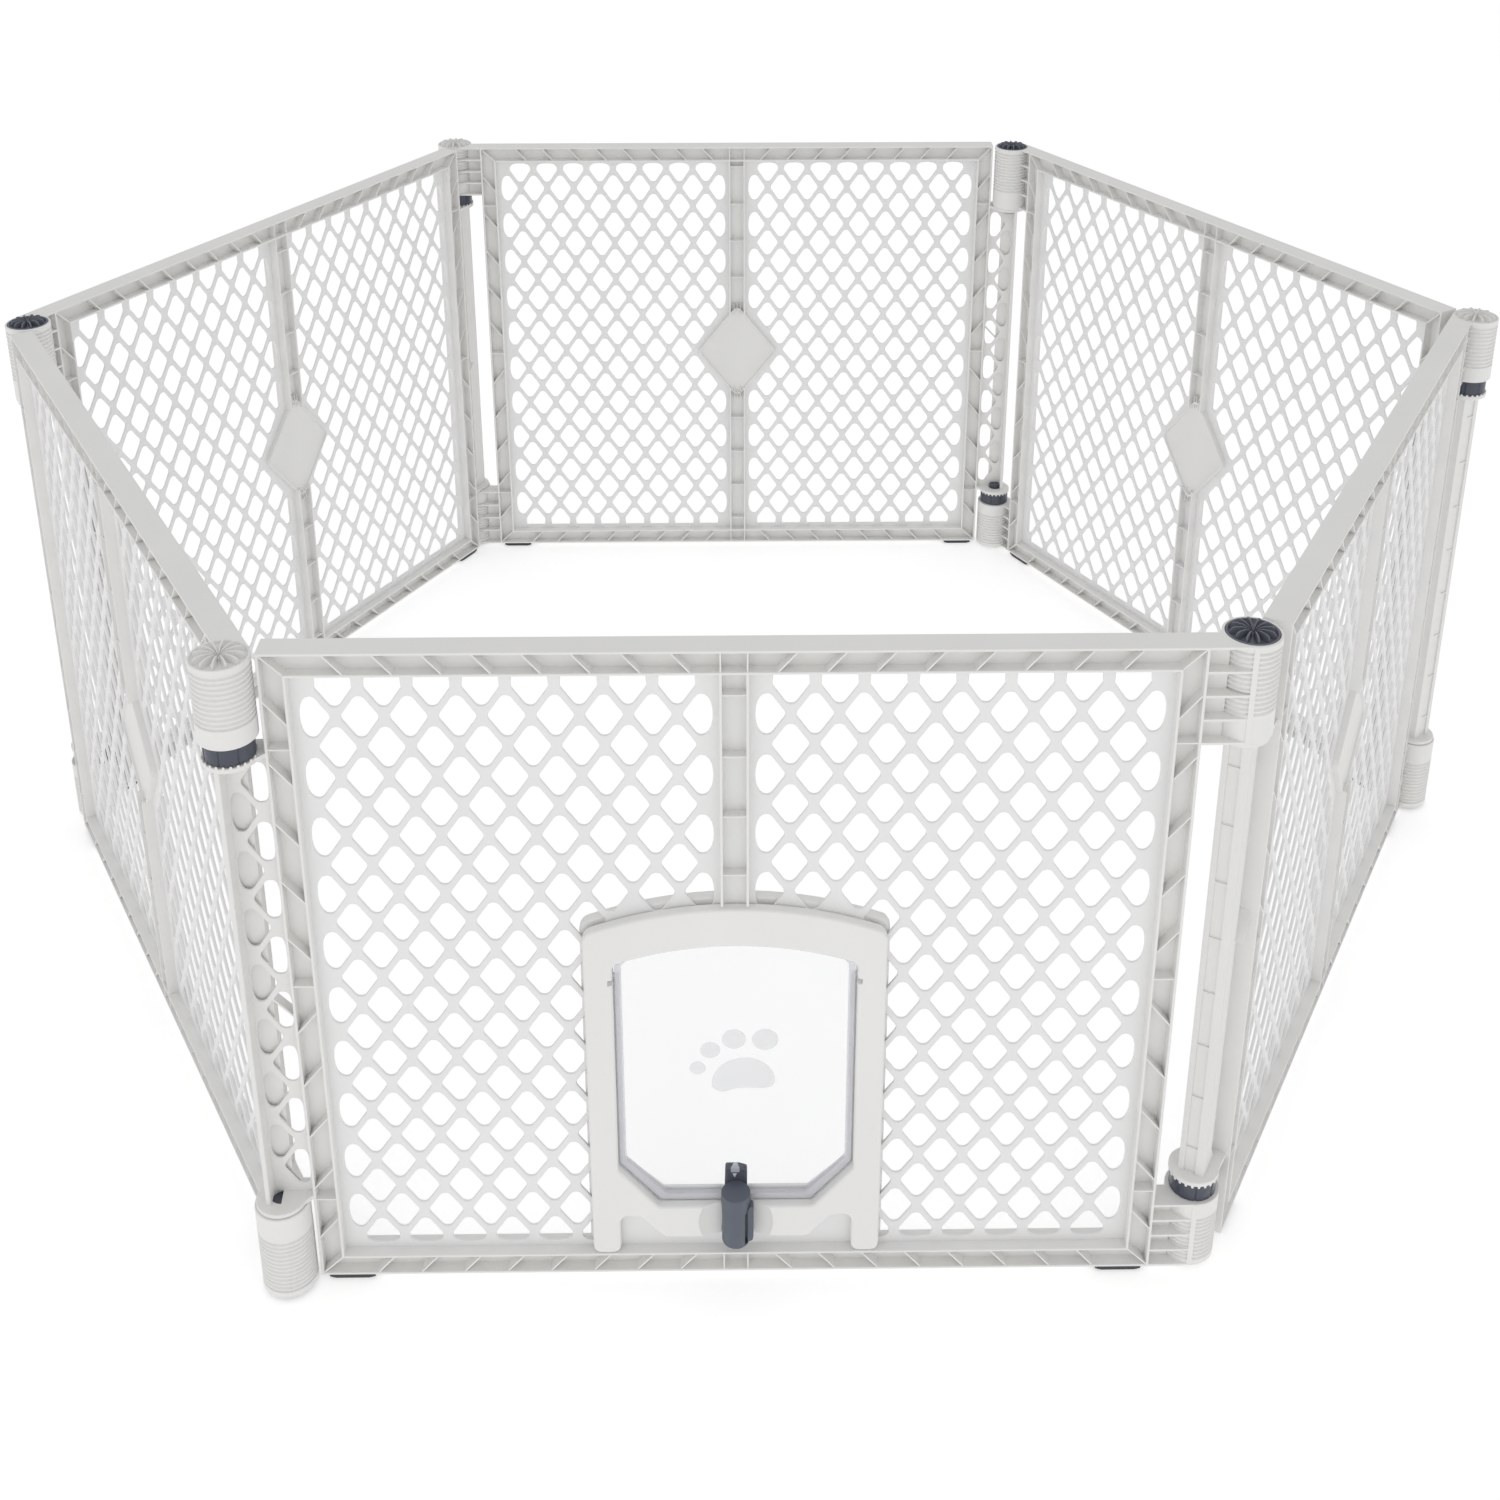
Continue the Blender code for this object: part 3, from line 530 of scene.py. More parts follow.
def diamond_outline(half_width, half_height, corner=0.011, steps=6):
    """A diamond with rounded points, which reach half_width and half_height from the middle."""
    slope = math.atan2(half_width, half_height)
    sharp_x = half_width + corner * (1 / math.cos(slope) - 1)
    sharp_z = half_height + corner * (1 / math.sin(slope) - 1)
    tips = [(CENTRE_X + sharp_x, MIDDLE), (CENTRE_X, MIDDLE + sharp_z)]
    tips += [(CENTRE_X - sharp_x, MIDDLE), (CENTRE_X, MIDDLE - sharp_z)]
    return rounded(tips, corner, steps)


def centred(side):
    """Points given from the panel's centre line."""
    return [(CENTRE_X + x, z) for x, z in side]


def mirrored(side):
    """Points given from the panel's centre line, on its other side and in reverse."""
    return [(-x, z) for x, z in reversed(side)]


def arch_height(top, radius, x):
    """Height of an arch of that radius at a distance from its top."""
    return top - radius + math.sqrt(radius * radius - x * x)


def arch_points(half, top, radius):
    """The arch over a width of twice half, from its right end to its left one."""
    reach = half - ARCH_SHOULDER
    offsets = [reach * (1 - 2 * i / ARCH_STEPS) for i in range(ARCH_STEPS + 1)]
    return [(x, arch_height(top, radius, x)) for x in offsets]


def opening_outline(inset=0.0, corner=0.006, shoulder_drop=0.005, slant=0.4):
    """The door opening: arched top, straight sides and chamfered lower corners."""
    half, low = OPENING_HALF - inset, OPENING_BOTTOM + inset
    arch = arch_points(half, OPENING_TOP - inset, OPENING_ARCH)
    side = [
        (half - CHAMFER_X, low),
        (half, low + CHAMFER_Z - inset * slant),
        (half, arch[0][1] - shoulder_drop),
    ]
    return rounded(centred(side + arch + mirrored(side)), corner)


def door_outline(grow, corner=0.009, shoulder_drop=0.007, window_height=0.026):
    """The door frame's outer edge, with its two legs and the two windows under its crossbar."""
    half = DOOR_HALF_WIDTH + grow
    leg = half - LEG_WIDTH
    window = CROSSBAR_BOTTOM + window_height
    arch = arch_points(half, DOOR_TOP + grow, DOOR_ARCH)
    side = [
        (leg - 0.040, CROSSBAR_BOTTOM),
        (leg - 0.019, window - 0.002),
        (leg - 0.006, window),
        (leg, window - 0.005),
        (leg, TRIM_FOOT),
        (half, TRIM_FOOT),
        (half, arch[0][1] - shoulder_drop),
    ]
    return rounded(centred(side + arch + mirrored(side)), corner)


# ---------------- moulding


def channel_ribs():
    """The ribs in one corner's channels, as pairs of ends measured from that corner."""
    outer, inner = WALL / 2, FRAME_WIDTH - WALL / 2
    beside_mullion = CENTRE_X - STILE_START - MULLION_HALF + WALL / 2
    ribs = [((outer, outer), (inner, inner))]
    for number in range(RAIL_RIBS):
        start = RAIL_RIB_START + number * PITCH_X
        ribs.append(((start, outer), (start + RAIL_RIB_LEAN, inner)))
    for number in range(STILE_RIBS):
        start = STILE_RIB_START + number * PITCH_Z
        ribs.append(((outer, start), (inner, start + STILE_RIB_LEAN)))
    ribs.append(((outer, STRAIGHT_RIB), (inner, STRAIGHT_RIB)))
    ribs.append(((beside_mullion, outer), (beside_mullion, inner)))
    return ribs


def rail_ribs(shape, root_y, edge_y):
    """Ribs in the H-section's channels on one face of the panel, mirrored into its four corners."""
    middle_rib = ((WALL / 2, MIDDLE), (FRAME_WIDTH - WALL / 2, MIDDLE))
    for edge_x, turn_x in ((STILE_START, 1), (STILE_END, -1)):
        ribs = [(0.0, 1, ends) for ends in channel_ribs()]
        ribs += [(HEIGHT, -1, ends) for ends in channel_ribs()]
        ribs.append((0.0, 1, middle_rib))
        for edge_z, turn_z, ends in ribs:
            start, end = [(edge_x + turn_x * x, edge_z + turn_z * z) for x, z in ends]
            rib(shape, start, end, root_y, edge_y)


def mullion_ribs(shape, low, high, root_y, edge_y):
    """The mullion's two flanges and its short cross ribs between two heights, on one face."""
    edge = MULLION_HALF - WALL / 2
    for x in (CENTRE_X - edge, CENTRE_X + edge):
        rib(shape, (x, low), (x, high), root_y, edge_y, thickness=WALL, taper=0.85)
    for row in range(-LAST_ROW // 2, LAST_ROW // 2 + 1):
        z = MIDDLE + row * PITCH_Z - CROSS_RIB_DROP
        if low + CROSS_RIB_ROOM < z < high - CROSS_RIB_ROOM:
            rib(shape, (CENTRE_X - edge, z), (CENTRE_X + edge, z), root_y, edge_y * 0.86)


def ridged(low, high, ridge_low, ridge_high, pitch=0.0047, depth=0.0018):
    """The outside of a barrel from its top to its bottom: plain ends and rings of ridges between."""
    radius, plain = BARREL_RADIUS, BARREL_RADIUS - 0.0002
    profile = [(radius - EASE, high), (radius, high - EASE), (radius, ridge_high)]
    for number in range(int((ridge_high - ridge_low) / pitch)):
        top = ridge_high - number * pitch
        profile += [(radius - depth * dip, top - pitch * drop) for dip, drop in RIDGE]
    profile += [(plain, ridge_low), (plain, low + EASE), (plain - EASE, low)]
    return profile


def fins(shape, face_z, up, outer, count=12, tall=0.0064, sunk=0.0008, narrowing=0.6):
    """Upright radial fins on a barrel's end, which dip towards the axis."""
    root = face_z - up * sunk
    for number in range(count):
        out, side = spoke(2 * math.pi * number / count)
        loops = []
        for radius, half, share in FIN + [(outer - 0.0016, 0.0014, 0.86), (outer, 0.0010, 0.40)]:
            centre = Vector((BARREL_X, AXIS_Y)) + out * radius
            crest, top_half = face_z + up * tall * share, half * narrowing
            section = [(half, root), (top_half, crest), (-top_half, crest), (-half, root)]
            loops.append([(*(centre + side * reach), z) for reach, z in section])
        loft(shape, loops)


def end_face(radius, rim_z, up):
    """Profile of a finned end: a flat dish inside a rounded rim, from the axis outwards."""
    return [
        (0.0, rim_z - up * DISH_DEPTH),
        (radius - 0.0030, rim_z - up * DISH_DEPTH),
        (radius - 0.0024, rim_z - up * (DISH_DEPTH - EASE)),
        (radius - 0.0019, rim_z - up * 0.0004),
        (radius - 0.0012, rim_z),
    ]


def barrel_bays(shape, low, high):
    """Horizontal plates, a back web and a front strip which join a barrel to its stile."""
    near = STILE_END - WALL * 0.8
    hug = BARREL_RADIUS - 0.0010
    step = (high - low - WALL) / BAYS
    outline = [(near, -BAY_DEPTH), (BARREL_X, 0.0004 - BAY_DEPTH)]
    outline += arc(BARREL_X, AXIS_Y, hug, math.radians(-100.5), math.radians(-174), 7)
    outline += [(BARREL_X - hug, BAY_DEPTH), (near, BAY_DEPTH)]
    for number in range(BAYS + 1):
        base = low + step * number
        slab(shape, outline, base + BAY_SETBACK, base + WALL - BAY_SETBACK)
    block(shape, (near, -0.0010, low + 0.001), (BARREL_X - 0.021, 0.0010, high - 0.001))
    strip_low, strip_high = low + 0.0008, high - 0.0008
    block(shape, (BARREL_X - 0.0045, -0.0122, strip_low), (BARREL_X + 0.0002, -0.0105, strip_high))


def barrels_shape():
    """Both hinge barrels of a panel: the cap's, and the lock ring's, which is finned underneath."""
    shape = bmesh.new()
    top, low = HEIGHT, HEIGHT - CAP_BARREL
    seat = CAP_RADIUS + 0.0005
    profile = ridged(low, top, low + 0.0210, top - 0.0060)
    profile += [(BORE, low), (BORE, top - CAP_SEAT), (seat, top - CAP_SEAT), (seat, top)]
    turned(shape, profile, BARREL_X, AXIS_Y, closed=True)

    bore_end = RING_BARREL - 0.030
    profile = end_face(BARREL_RADIUS, 0.0, -1)
    profile += ridged(0.0, RING_BARREL, 0.0030, RING_BARREL - 0.0180)[::-1]
    profile += [(BORE, RING_BARREL), (BORE, bore_end), (0.0, bore_end)]
    turned(shape, profile, BARREL_X, AXIS_Y)
    fins(shape, DISH_DEPTH, -1, 0.0212)

    plates = bmesh.new()
    barrel_bays(plates, low, top)
    barrel_bays(plates, 0.0, RING_BARREL)
    softened(plates)
    return joined(shape, plates)


def post_channel():
    """The post's channel with its cross ribs. Each wall ends a little short of the one before."""
    shape = bmesh.new()
    walls = [
        (POST_LEFT + 0.0020, POST_FRONT + 0.0004, POST_LEFT + 0.0040, POST_BACK - 0.0004),
        (POST_LEFT, POST_FRONT, POST_LEFT + 0.0036, POST_FRONT + 0.0052),
        (POST_LEFT + 0.0001, -0.0086, POST_LEFT + 0.0032, POST_BACK - 0.0002),
        (POST_LEFT + 0.0022, -0.0024, 0.0090, POST_BACK),
    ]
    for number, (x0, y0, x1, y1) in enumerate(walls):
        short = BAY_SETBACK * number
        block(shape, (x0, y0, SHAFT_LOW + short), (x1, y1, SHAFT_HIGH - short))
    x0, y0, x1, y1 = POST_LEFT + 0.0003, POST_FRONT + 0.004, POST_LEFT + 0.003, -0.0076
    for number in range(-4, 4):
        z = MIDDLE + PITCH_Z * (number + 0.5)
        block(shape, (x0, y0, z - 0.0007), (x1, y1, z + 0.0007))
    brace = MIDDLE - PITCH_Z / 2
    rib(shape, (0.0085, brace + 0.011), (0.0285, brace - 0.011), -0.0045, 0.0060)
    softened(shape)
    return shape


def post_web():
    """The pierced web between the post's channel and the stile."""
    shape = bmesh.new()
    outlines = [rectangle(POST_LEFT + 0.001, SHAFT_LOW, STILE_START + 0.0008, SHAFT_HIGH)]
    for row in range(-LAST_ROW, LAST_ROW + 1):
        z = MIDDLE + row * PITCH_Z / 2
        if not SHAFT_LOW + POST_HOLE_ROOM < z < SHAFT_HIGH - POST_HOLE_ROOM:
            continue
        if row % 2:
            square = POST_NEAR_QUARTER
            outlines.append(hole(0.0192, z, square, DIAMOND, DIAMOND, square))
        else:
            square = POST_FAR_QUARTER
            outlines.append(hole(0.0, z, DIAMOND, square, square, DIAMOND))
    plate(shape, outlines, -0.0065, -0.0041, bevel=0.0004)
    return shape


def tooth(shape, angle, face_z):
    """One tooth on a disc's rim, standing up from its face."""
    out, side = spoke(angle)
    corners = []
    for radius, half in ((DISC_RADIUS - 0.0009, 0.0013), (DISC_RADIUS - 0.0001, 0.0015)):
        centre = Vector((0.0, -AXIS_Y)) + out * radius
        corners.append((centre + side * half, centre - side * half))
    (a, b), (c, d) = corners
    foot = [(*point, face_z - 0.0012) for point in (a, c, d, b)]
    narrowed = (a.lerp(b, 0.2), c.lerp(d, 0.2), d.lerp(c, 0.2), b.lerp(a, 0.2))
    loft(shape, [foot, [(*point, face_z + 0.0019) for point in narrowed]])


def post_disc(shape, face, up):
    """The disc at one end of the post, its tie to the stile and the two wedges behind it."""
    under = face - up * DISC_THICKNESS
    hub, rim = SPIGOT + 0.001, DISC_RADIUS
    profile = [(hub, face), (rim - EASE, face), (rim, face - up * EASE)]
    profile += [(rim, under + up * EASE), (rim - EASE, under), (hub, under)]
    turned(shape, profile, 0.0, -AXIS_Y, closed=True)
    slab(shape, DISC_TIE, min(face, under) + 0.0003, max(face, under) - 0.0003)
    for x, lean in ((POST_LEFT + 0.003, 0.010), (0.0090, 0.012)):
        root = under + up * 0.001
        wedge = [(x, root), (x + lean, root), (x, under - up * 0.018)]
        loft(shape, [[(px, y, pz) for px, pz in wedge] for y in (-0.0023, -0.0009)])


def post_shape():
    """The hinge post: a channel with a pierced web, between two discs, the upper one toothed."""
    discs = bmesh.new()
    post_disc(discs, POST_LOW, -1)
    post_disc(discs, POST_HIGH, 1)
    for number in range(DISC_TEETH):
        tooth(discs, 2 * math.pi * number / DISC_TEETH, POST_HIGH)
    return joined(post_channel(), post_web(), discs)


def rails_shape():
    """The H-section rails and stiles, with their slanted ribs on both faces."""
    shape = bmesh.new()
    inner = FRAME_WIDTH - WALL
    web = [panel_rectangle(WALL / 2), panel_rectangle(inner + WALL / 2)]
    plate(shape, [panel_rectangle(0.0), panel_rectangle(WALL)], -HALF_DEPTH, HALF_DEPTH, bevel=0.0004)
    plate(shape, [panel_rectangle(inner), panel_rectangle(FRAME_WIDTH)], -HALF_DEPTH, HALF_DEPTH)
    plate(shape, web, -WEB_HALF, WEB_HALF, 0.0002)
    ribs = bmesh.new()
    for face in (-1, 1):
        rail_ribs(ribs, face * WEB_HALF * 0.5, face * RIB_DEPTH)
    softened(ribs)
    return joined(shape, ribs)


def moulding_mesh(name, spans):
    """A panel's whole frame: rails, stiles, mullion stretches, post and barrels."""
    mullion = bmesh.new()
    root, edge = WEB_HALF - 0.0004, HALF_DEPTH - 0.0005
    for low, high in spans:
        for face in (-1, 1):
            mullion_ribs(mullion, low, high, face * root, face * edge)
    softened(mullion)
    return finished(name, joined(rails_shape(), mullion, post_shape(), barrels_shape()))


def badge_tip():
    """Height above the middle where the badge plate's rim meets the mullion."""
    share = 1 - MULLION_HALF / BADGE_HALF_WIDTH
    return BADGE_HALF_HEIGHT * share + 0.004


def lattice_mesh(name, holes):
    edge = panel_rectangle(LATTICE_MARGIN)
    return plate_mesh(name, [edge] + holes, -LATTICE_HALF, LATTICE_HALF)


def plain_lattice_mesh(least_share=0.28):
    """The lattice of a plain panel, with a margin kept round the badge plate."""
    reach_x = BADGE_HALF_WIDTH + BADGE_MARGIN_X
    reach_z = BADGE_HALF_HEIGHT + BADGE_MARGIN_Z
    outlines = []
    for x, z, outline in lattice_holes():
        side_x = 1 if x > CENTRE_X else -1
        side_z = 1 if z > MIDDLE else -1

        def outside(point):
            across = side_x * (point[0] - CENTRE_X) / reach_x
            return across + side_z * (point[1] - MIDDLE) / reach_z - 1

        kept = clipped(outline, outside)
        if len(kept) > 2 and abs(signed_area(kept)) > least_share * abs(signed_area(outline)):
            outlines.append(kept if len(kept) == len(outline) else rounded(kept, 0.004, 3, 30.0))
    return lattice_mesh("plain_lattice", outlines)


def front_lattice_mesh():
    """The lattice of the front panel, cut away for the pet door."""
    outlines = []
    overlap = 0.006
    for x, z, outline in lattice_holes():
        across = abs(x - CENTRE_X)
        arch = arch_height(DOOR_TOP, DOOR_ARCH, min(across, DOOR_HALF_WIDTH))
        if across >= DOOR_HALF_WIDTH - overlap or z >= arch - overlap:
            outlines.append(outline)
    outlines.append(opening_outline(-0.0005))
    return lattice_mesh("front_lattice", outlines)


def badge_mesh():
    """The blank badge plate: a dished diamond in a raised rim, with short ribs at its two tips."""
    shape = bmesh.new()
    rim_inside = diamond_outline(BADGE_HALF_WIDTH - 0.0030, BADGE_HALF_HEIGHT - 0.0036)
    rim = diamond_outline(BADGE_HALF_WIDTH, BADGE_HALF_HEIGHT)
    plate(shape, [rim, rim_inside], -BADGE_DEPTH, BADGE_DEPTH, bevel=0.0008, steps=2)
    outer = diamond_outline(BADGE_HALF_WIDTH - 0.0015, BADGE_HALF_HEIGHT - 0.0018)
    dish = [(1.0, 0.0062), (0.86, 0.0052), (0.70, 0.0046), (0.50, 0.0043), (0.25, 0.0042)]
    loops = []
    for share, y in dish[::-1] + [(share, -depth) for share, depth in dish]:
        centre = (CENTRE_X * (1 - share), MIDDLE * (1 - share))
        loops.append([(centre[0] + x * share, y, centre[1] + z * share) for x, z in outer])
    loft(shape, loops)
    for side in (-1, 1):
        for offset in (-0.0048, 0.0, 0.0048):
            x = CENTRE_X + offset
            start = MIDDLE + side * (BADGE_HALF_HEIGHT - 0.006 - abs(offset))
            end = MIDDLE + side * (BADGE_HALF_HEIGHT + 0.0085)
            for face in (-1, 1):
                rib(shape, (x, start), (x, end), 0.0, face * BADGE_DEPTH, 0.0014)
    return finished("badge", shape)


def cap_mesh(spigot):
    """The dark hinge cap: a finned dish in a rounded rim, on a shank."""
    shape = bmesh.new()
    top, low = HEIGHT + 0.0006, HEIGHT - CAP_BARREL + 0.0005
    seat = HEIGHT - CAP_SEAT + 0.0004
    profile = end_face(CAP_RADIUS, top, 1)
    profile += [(CAP_RADIUS - 0.0003, top - 0.0003), (CAP_RADIUS, top - 0.0010)]
    profile += [(CAP_RADIUS, seat), (SHANK, seat), (SHANK, low)]
    if spigot:
        profile += [(SPIGOT, low), (SPIGOT, low - SPIGOT_REACH)]
    profile.append((0.0, profile[-1][1]))
    turned(shape, profile, BARREL_X, AXIS_Y, segments=56)
    fins(shape, top - DISH_DEPTH, 1, 0.0190)
    return finished("hinge_cap", shape)


def grooved(angle, depth=0.060, width=0.16, turn=0.4):
    """The lock ring's reach at an angle, as a share of its radius: eight grooves."""
    from_groove = abs(math.sin(angle * 4 + turn))
    return 1.0 - depth * max(0.0, 1.0 - from_groove / width)


def ring_mesh(spigot):
    """The dark lock ring: a grooved collar on a shank."""
    shape = bmesh.new()
    low, high = RING_BARREL + 0.0001, POST_LOW - 0.0010
    within, shank_end, tip = BORE - 0.001, RING_BARREL - 0.028, high + SPIGOT_REACH
    collar = [(within, high), (RING_RADIUS - EASE, high), (RING_RADIUS, high - EASE)]
    collar += [(RING_RADIUS, low + 0.0003), (RING_RADIUS - 0.0003, low), (within, low)]
    turned(shape, collar, BARREL_X, AXIS_Y, segments=144, closed=True, lobes=grooved)
    inner = [(0.0, high)]
    if spigot:
        inner = [(0.0, tip), (SPIGOT - 0.001, tip), (SPIGOT, tip - 0.001), (SPIGOT, high)]
    inner += [(SHANK, high), (SHANK, shank_end), (0.0, shank_end)]
    turned(shape, inner, BARREL_X, AXIS_Y)
    return finished("lock_ring", shape)


def foot_mesh():
    """A soft foot with tapered ends and slanted sides."""
    shape = bmesh.new()
    ends = [(0.0, 0.0032), (0.003, 0.0042), (0.006, FOOT_HEIGHT)]
    stations = ends + [(FOOT_LENGTH - x, depth) for x, depth in reversed(ends)]
    root, half, sole = -0.0002, FOOT_HALF_WIDTH, FOOT_HALF_WIDTH - 0.001
    loops = []
    for x, depth in stations:
        loops.append([(x, -half, root), (x, -sole, -depth), (x, sole, -depth), (x, half, root)])
    loft(shape, loops)
    softened(shape, 0.0005, 2)
    return finished("foot", shape)


# ---------------- pet door


def ellipsoid(centre, radii, segments=64):
    shape = bmesh.new()
    bmesh.ops.create_uvsphere(shape, u_segments=segments, v_segments=segments // 2, radius=1.0)
    for vertex in shape.verts:
        vertex.co = Vector(centre) + Vector([c * r for c, r in zip(vertex.co, radii)])
    return finished("ellipsoid", shape)


def pocket(low, high):
    shape = bmesh.new()
    block(shape, low, high)
    return finished("pocket", shape)


def latch_bore():
    """The upright round space which the latch knob turns in."""
    shape = bmesh.new()
    low, high, radius = DIAL_LOW - 0.002, DIAL_HIGH + 0.012, DIAL_RADIUS + 0.0009
    profile = [(0.0, high), (radius, high), (radius, low), (0.0, low)]
    turned(shape, profile, CENTRE_X, DIAL_Y, segments=64)
    return finished("latch_bore", shape)


def trim_mesh(name, grow, low_y, high_y, bevel, steps, cutters):
    """One half of the door's frame."""
    outlines = [door_outline(grow), opening_outline()]
    mesh = plate_mesh(name, outlines, low_y, high_y, bevel, steps, TRIM_SHARP)
    return carved(name, mesh, cutters)


def outer_frame_mesh():
    """The door frame's outer half, dished round the latch, with pivot notches."""
    dish = ellipsoid((CENTRE_X, -TRIM_FAR - 0.0060, 0.0590), (0.0372, 0.0150, 0.0400))
    cutters = [dish, latch_bore()]
    for side in (-1, 1):
        edge = CENTRE_X + side * OPENING_HALF
        x0, x1 = sorted((edge - side * 0.002, edge + side * 0.0042))
        cutters.append(pocket((x0, -0.0135, PIVOT_HEIGHT - 0.0028), (x1, 0.0, PIVOT_HEIGHT + 0.0028)))
    return trim_mesh("outer_door_frame", 0.0, -TRIM_FAR, -TRIM_NEAR, 0.0024, 4, cutters)


def inner_frame_mesh():
    """The door frame's inner half, a little larger than the outer one."""
    return trim_mesh("inner_door_frame", 0.003, TRIM_NEAR, TRIM_FAR, 0.0020, 3, [latch_bore()])


def ledge_mesh():
    """The narrow ledge inside the rear frame, below the pivot, with a gap behind the latch."""
    half, inner = OPENING_HALF + 0.001, OPENING_HALF - 0.0052
    low, top = OPENING_BOTTOM - 0.001, PIVOT_HEIGHT - 0.0038
    inner_low = low + 0.0095
    side = [
        (half - CHAMFER_X, low),
        (half, low + CHAMFER_Z),
        (half, top),
        (inner, top),
        (inner, inner_low + CHAMFER_Z - 0.009),
        (inner - CHAMFER_X + 0.001, inner_low),
    ]
    mesh = plate_mesh("door_ledge", [centred(side + mirrored(side))], 0.0046, 0.0076, 0.0007, 2)
    gap = pocket((CENTRE_X - 0.0108, 0.0, 0.070), (CENTRE_X + 0.0108, 0.02, 0.105))
    return carved("door_ledge", mesh, [gap])


def opened_outline(inset):
    """The door opening's outline as a path from one side of the latch notch round to the other."""
    low = OPENING_BOTTOM + inset
    right, left = centred([(NOTCH_HALF, low), (-NOTCH_HALF, low)])
    return [right] + opening_outline(inset) + [left]


def flap_mesh():
    """The clear flap's thin sheet, notched over the latch."""
    bevel = 0.002
    side = [(NOTCH_HALF - bevel, NOTCH_TOP), (NOTCH_HALF, NOTCH_TOP - bevel)]
    notch = centred(mirrored(side) + side)
    outline = opened_outline(FLAP_CLEARANCE + 0.0020) + notch
    return plate_mesh("clear_flap", [outline], -FLAP_HALF, FLAP_HALF, 0.0002)


def flap_rim_mesh():
    """The flap's deeper rim, open under the latch, with a stub pin on each side."""
    shape = bmesh.new()
    outer = opened_outline(FLAP_CLEARANCE)
    inner = opened_outline(FLAP_CLEARANCE + FLAP_RIM)
    plate(shape, [outer + inner[::-1]], -FLAP_RIM_HALF, FLAP_RIM_HALF, bevel=0.0007, steps=2)
    for side in (-1, 1):
        root = CENTRE_X + side * (OPENING_HALF - FLAP_CLEARANCE - 0.001)
        loops = []
        for reach, radius in ((0.0, 0.0019), (0.0030, 0.0019), (0.0036, 0.0014)):
            section = circle(0.0, PIVOT_HEIGHT, radius, 16)
            loops.append([(root + side * reach, y, z) for y, z in section])
        loft(shape, loops)
    return finished("flap_rim", shape)


def paw_mesh():
    """A generic frosted paw print, a thin layer on the flap's outer face."""
    shape = bmesh.new()
    prints = [circle(x, z, radius, 32) for x, z, radius in PAW_TOES]
    prints.append(rounded(PAW_PAD, 0.02, 4, 4.0))
    for outline in prints:
        placed = [(STILE_START + x, z) for x, z in outline]
        plate(shape, [placed], -0.00165, -0.00145, bevel=0.00005)
    return finished("paw", shape)


def dial_mesh():
    """The dark latch knob: a drum with a collar on top, a vertical fin and a rounded foot."""
    shape = bmesh.new()
    seam = DIAL_HIGH - 0.0125
    profile = [
        (0.0, DIAL_HIGH),
        (DIAL_RADIUS - 0.0012, DIAL_HIGH),
        (DIAL_RADIUS - 0.0003, DIAL_HIGH - 0.0004),
        (DIAL_RADIUS, DIAL_HIGH - 0.0012),
        (DIAL_RADIUS, seam + 0.0003),
        (DIAL_RADIUS - 0.0009, seam),
        (DIAL_RADIUS - 0.0006, seam - 0.0006),
        (DIAL_RADIUS - 0.0005, DIAL_LOW + 0.0030),
        (DIAL_RADIUS - 0.0011, DIAL_LOW + 0.0012),
        (DIAL_RADIUS - 0.0024, DIAL_LOW),
        (0.0, DIAL_LOW),
    ]
    turned(shape, profile, CENTRE_X, DIAL_Y, segments=72)
    groove = pocket(
        (CENTRE_X + 0.0082, DIAL_Y - 0.0140, DIAL_LOW + 0.0035),
        (CENTRE_X + 0.0108, DIAL_Y - 0.0035, seam - 0.0055),
    )
    grooved_drum = bmesh.new()
    grooved_drum.from_mesh(carved("latch_drum", finished("latch_drum", shape), [groove]))
    fin = bmesh.new()
    top = seam + 0.0010
    side = [
        (0.0104, DIAL_LOW + 0.0045),
        (0.0152, DIAL_LOW + 0.0065),
        (0.0160, DIAL_LOW + 0.0120),
        (0.0162, top),
        (0.0120, top),
        (0.0104, top - 0.0060),
    ]
    outline = rounded(centred(side), 0.002)
    plate(fin, [outline], DIAL_Y - 0.0075, DIAL_Y + 0.0010, bevel=0.0007, steps=2)
    return finished("latch_knob", joined(grooved_drum, fin))


def catch_mesh():
    """The dark upper catch, which stands behind the flap's lower lip."""
    half, low, top = 0.0105, OPENING_BOTTOM + 0.0006, 0.1068
    side = [(-half, low), (half, low), (half, top - 0.0026), (0.0030, top), (0.001 - half, top)]
    return plate_mesh("upper_catch", [rounded(centred(side), 0.0022)], 0.0043, 0.0117, 0.0008, 2)


def pointer_mesh():
    """The catch's small white pointer."""
    x, tip, wide = -0.001, 0.0958, 0.0019
    side = [(x, tip), (x + wide, tip + 0.0048), (x - wide, tip + 0.0048)]
    return plate_mesh("catch_pointer", [centred(side)], 0.00405, 0.00435, 0.00008)


def tongue_mesh():
    """The small clear tongue above the catch."""
    low, shoulder, tip = 0.1028, 0.1075, 0.1136
    side = [(-0.0045, low), (0.0035, low), (0.0035, shoulder)]
    side += [(0.0012, tip), (-0.0016, tip), (-0.0045, shoulder)]
    return plate_mesh("clear_tongue", [rounded(centred(side), 0.001)], 0.0030, 0.0046, 0.0004)


# ---------------- materials


def new_material(name, colour, roughness, specular=0.5):
    """A plain material, with its node tree and its shader."""
    material = bpy.data.materials.new(name)
    material.use_nodes = True
    shader = material.node_tree.nodes["Principled BSDF"]
    shader.inputs["Base Color"].default_value = (*colour, 1.0)
    shader.inputs["Roughness"].default_value = roughness
    shader.inputs["Specular IOR Level"].default_value = specular
    return material, material.node_tree, shader


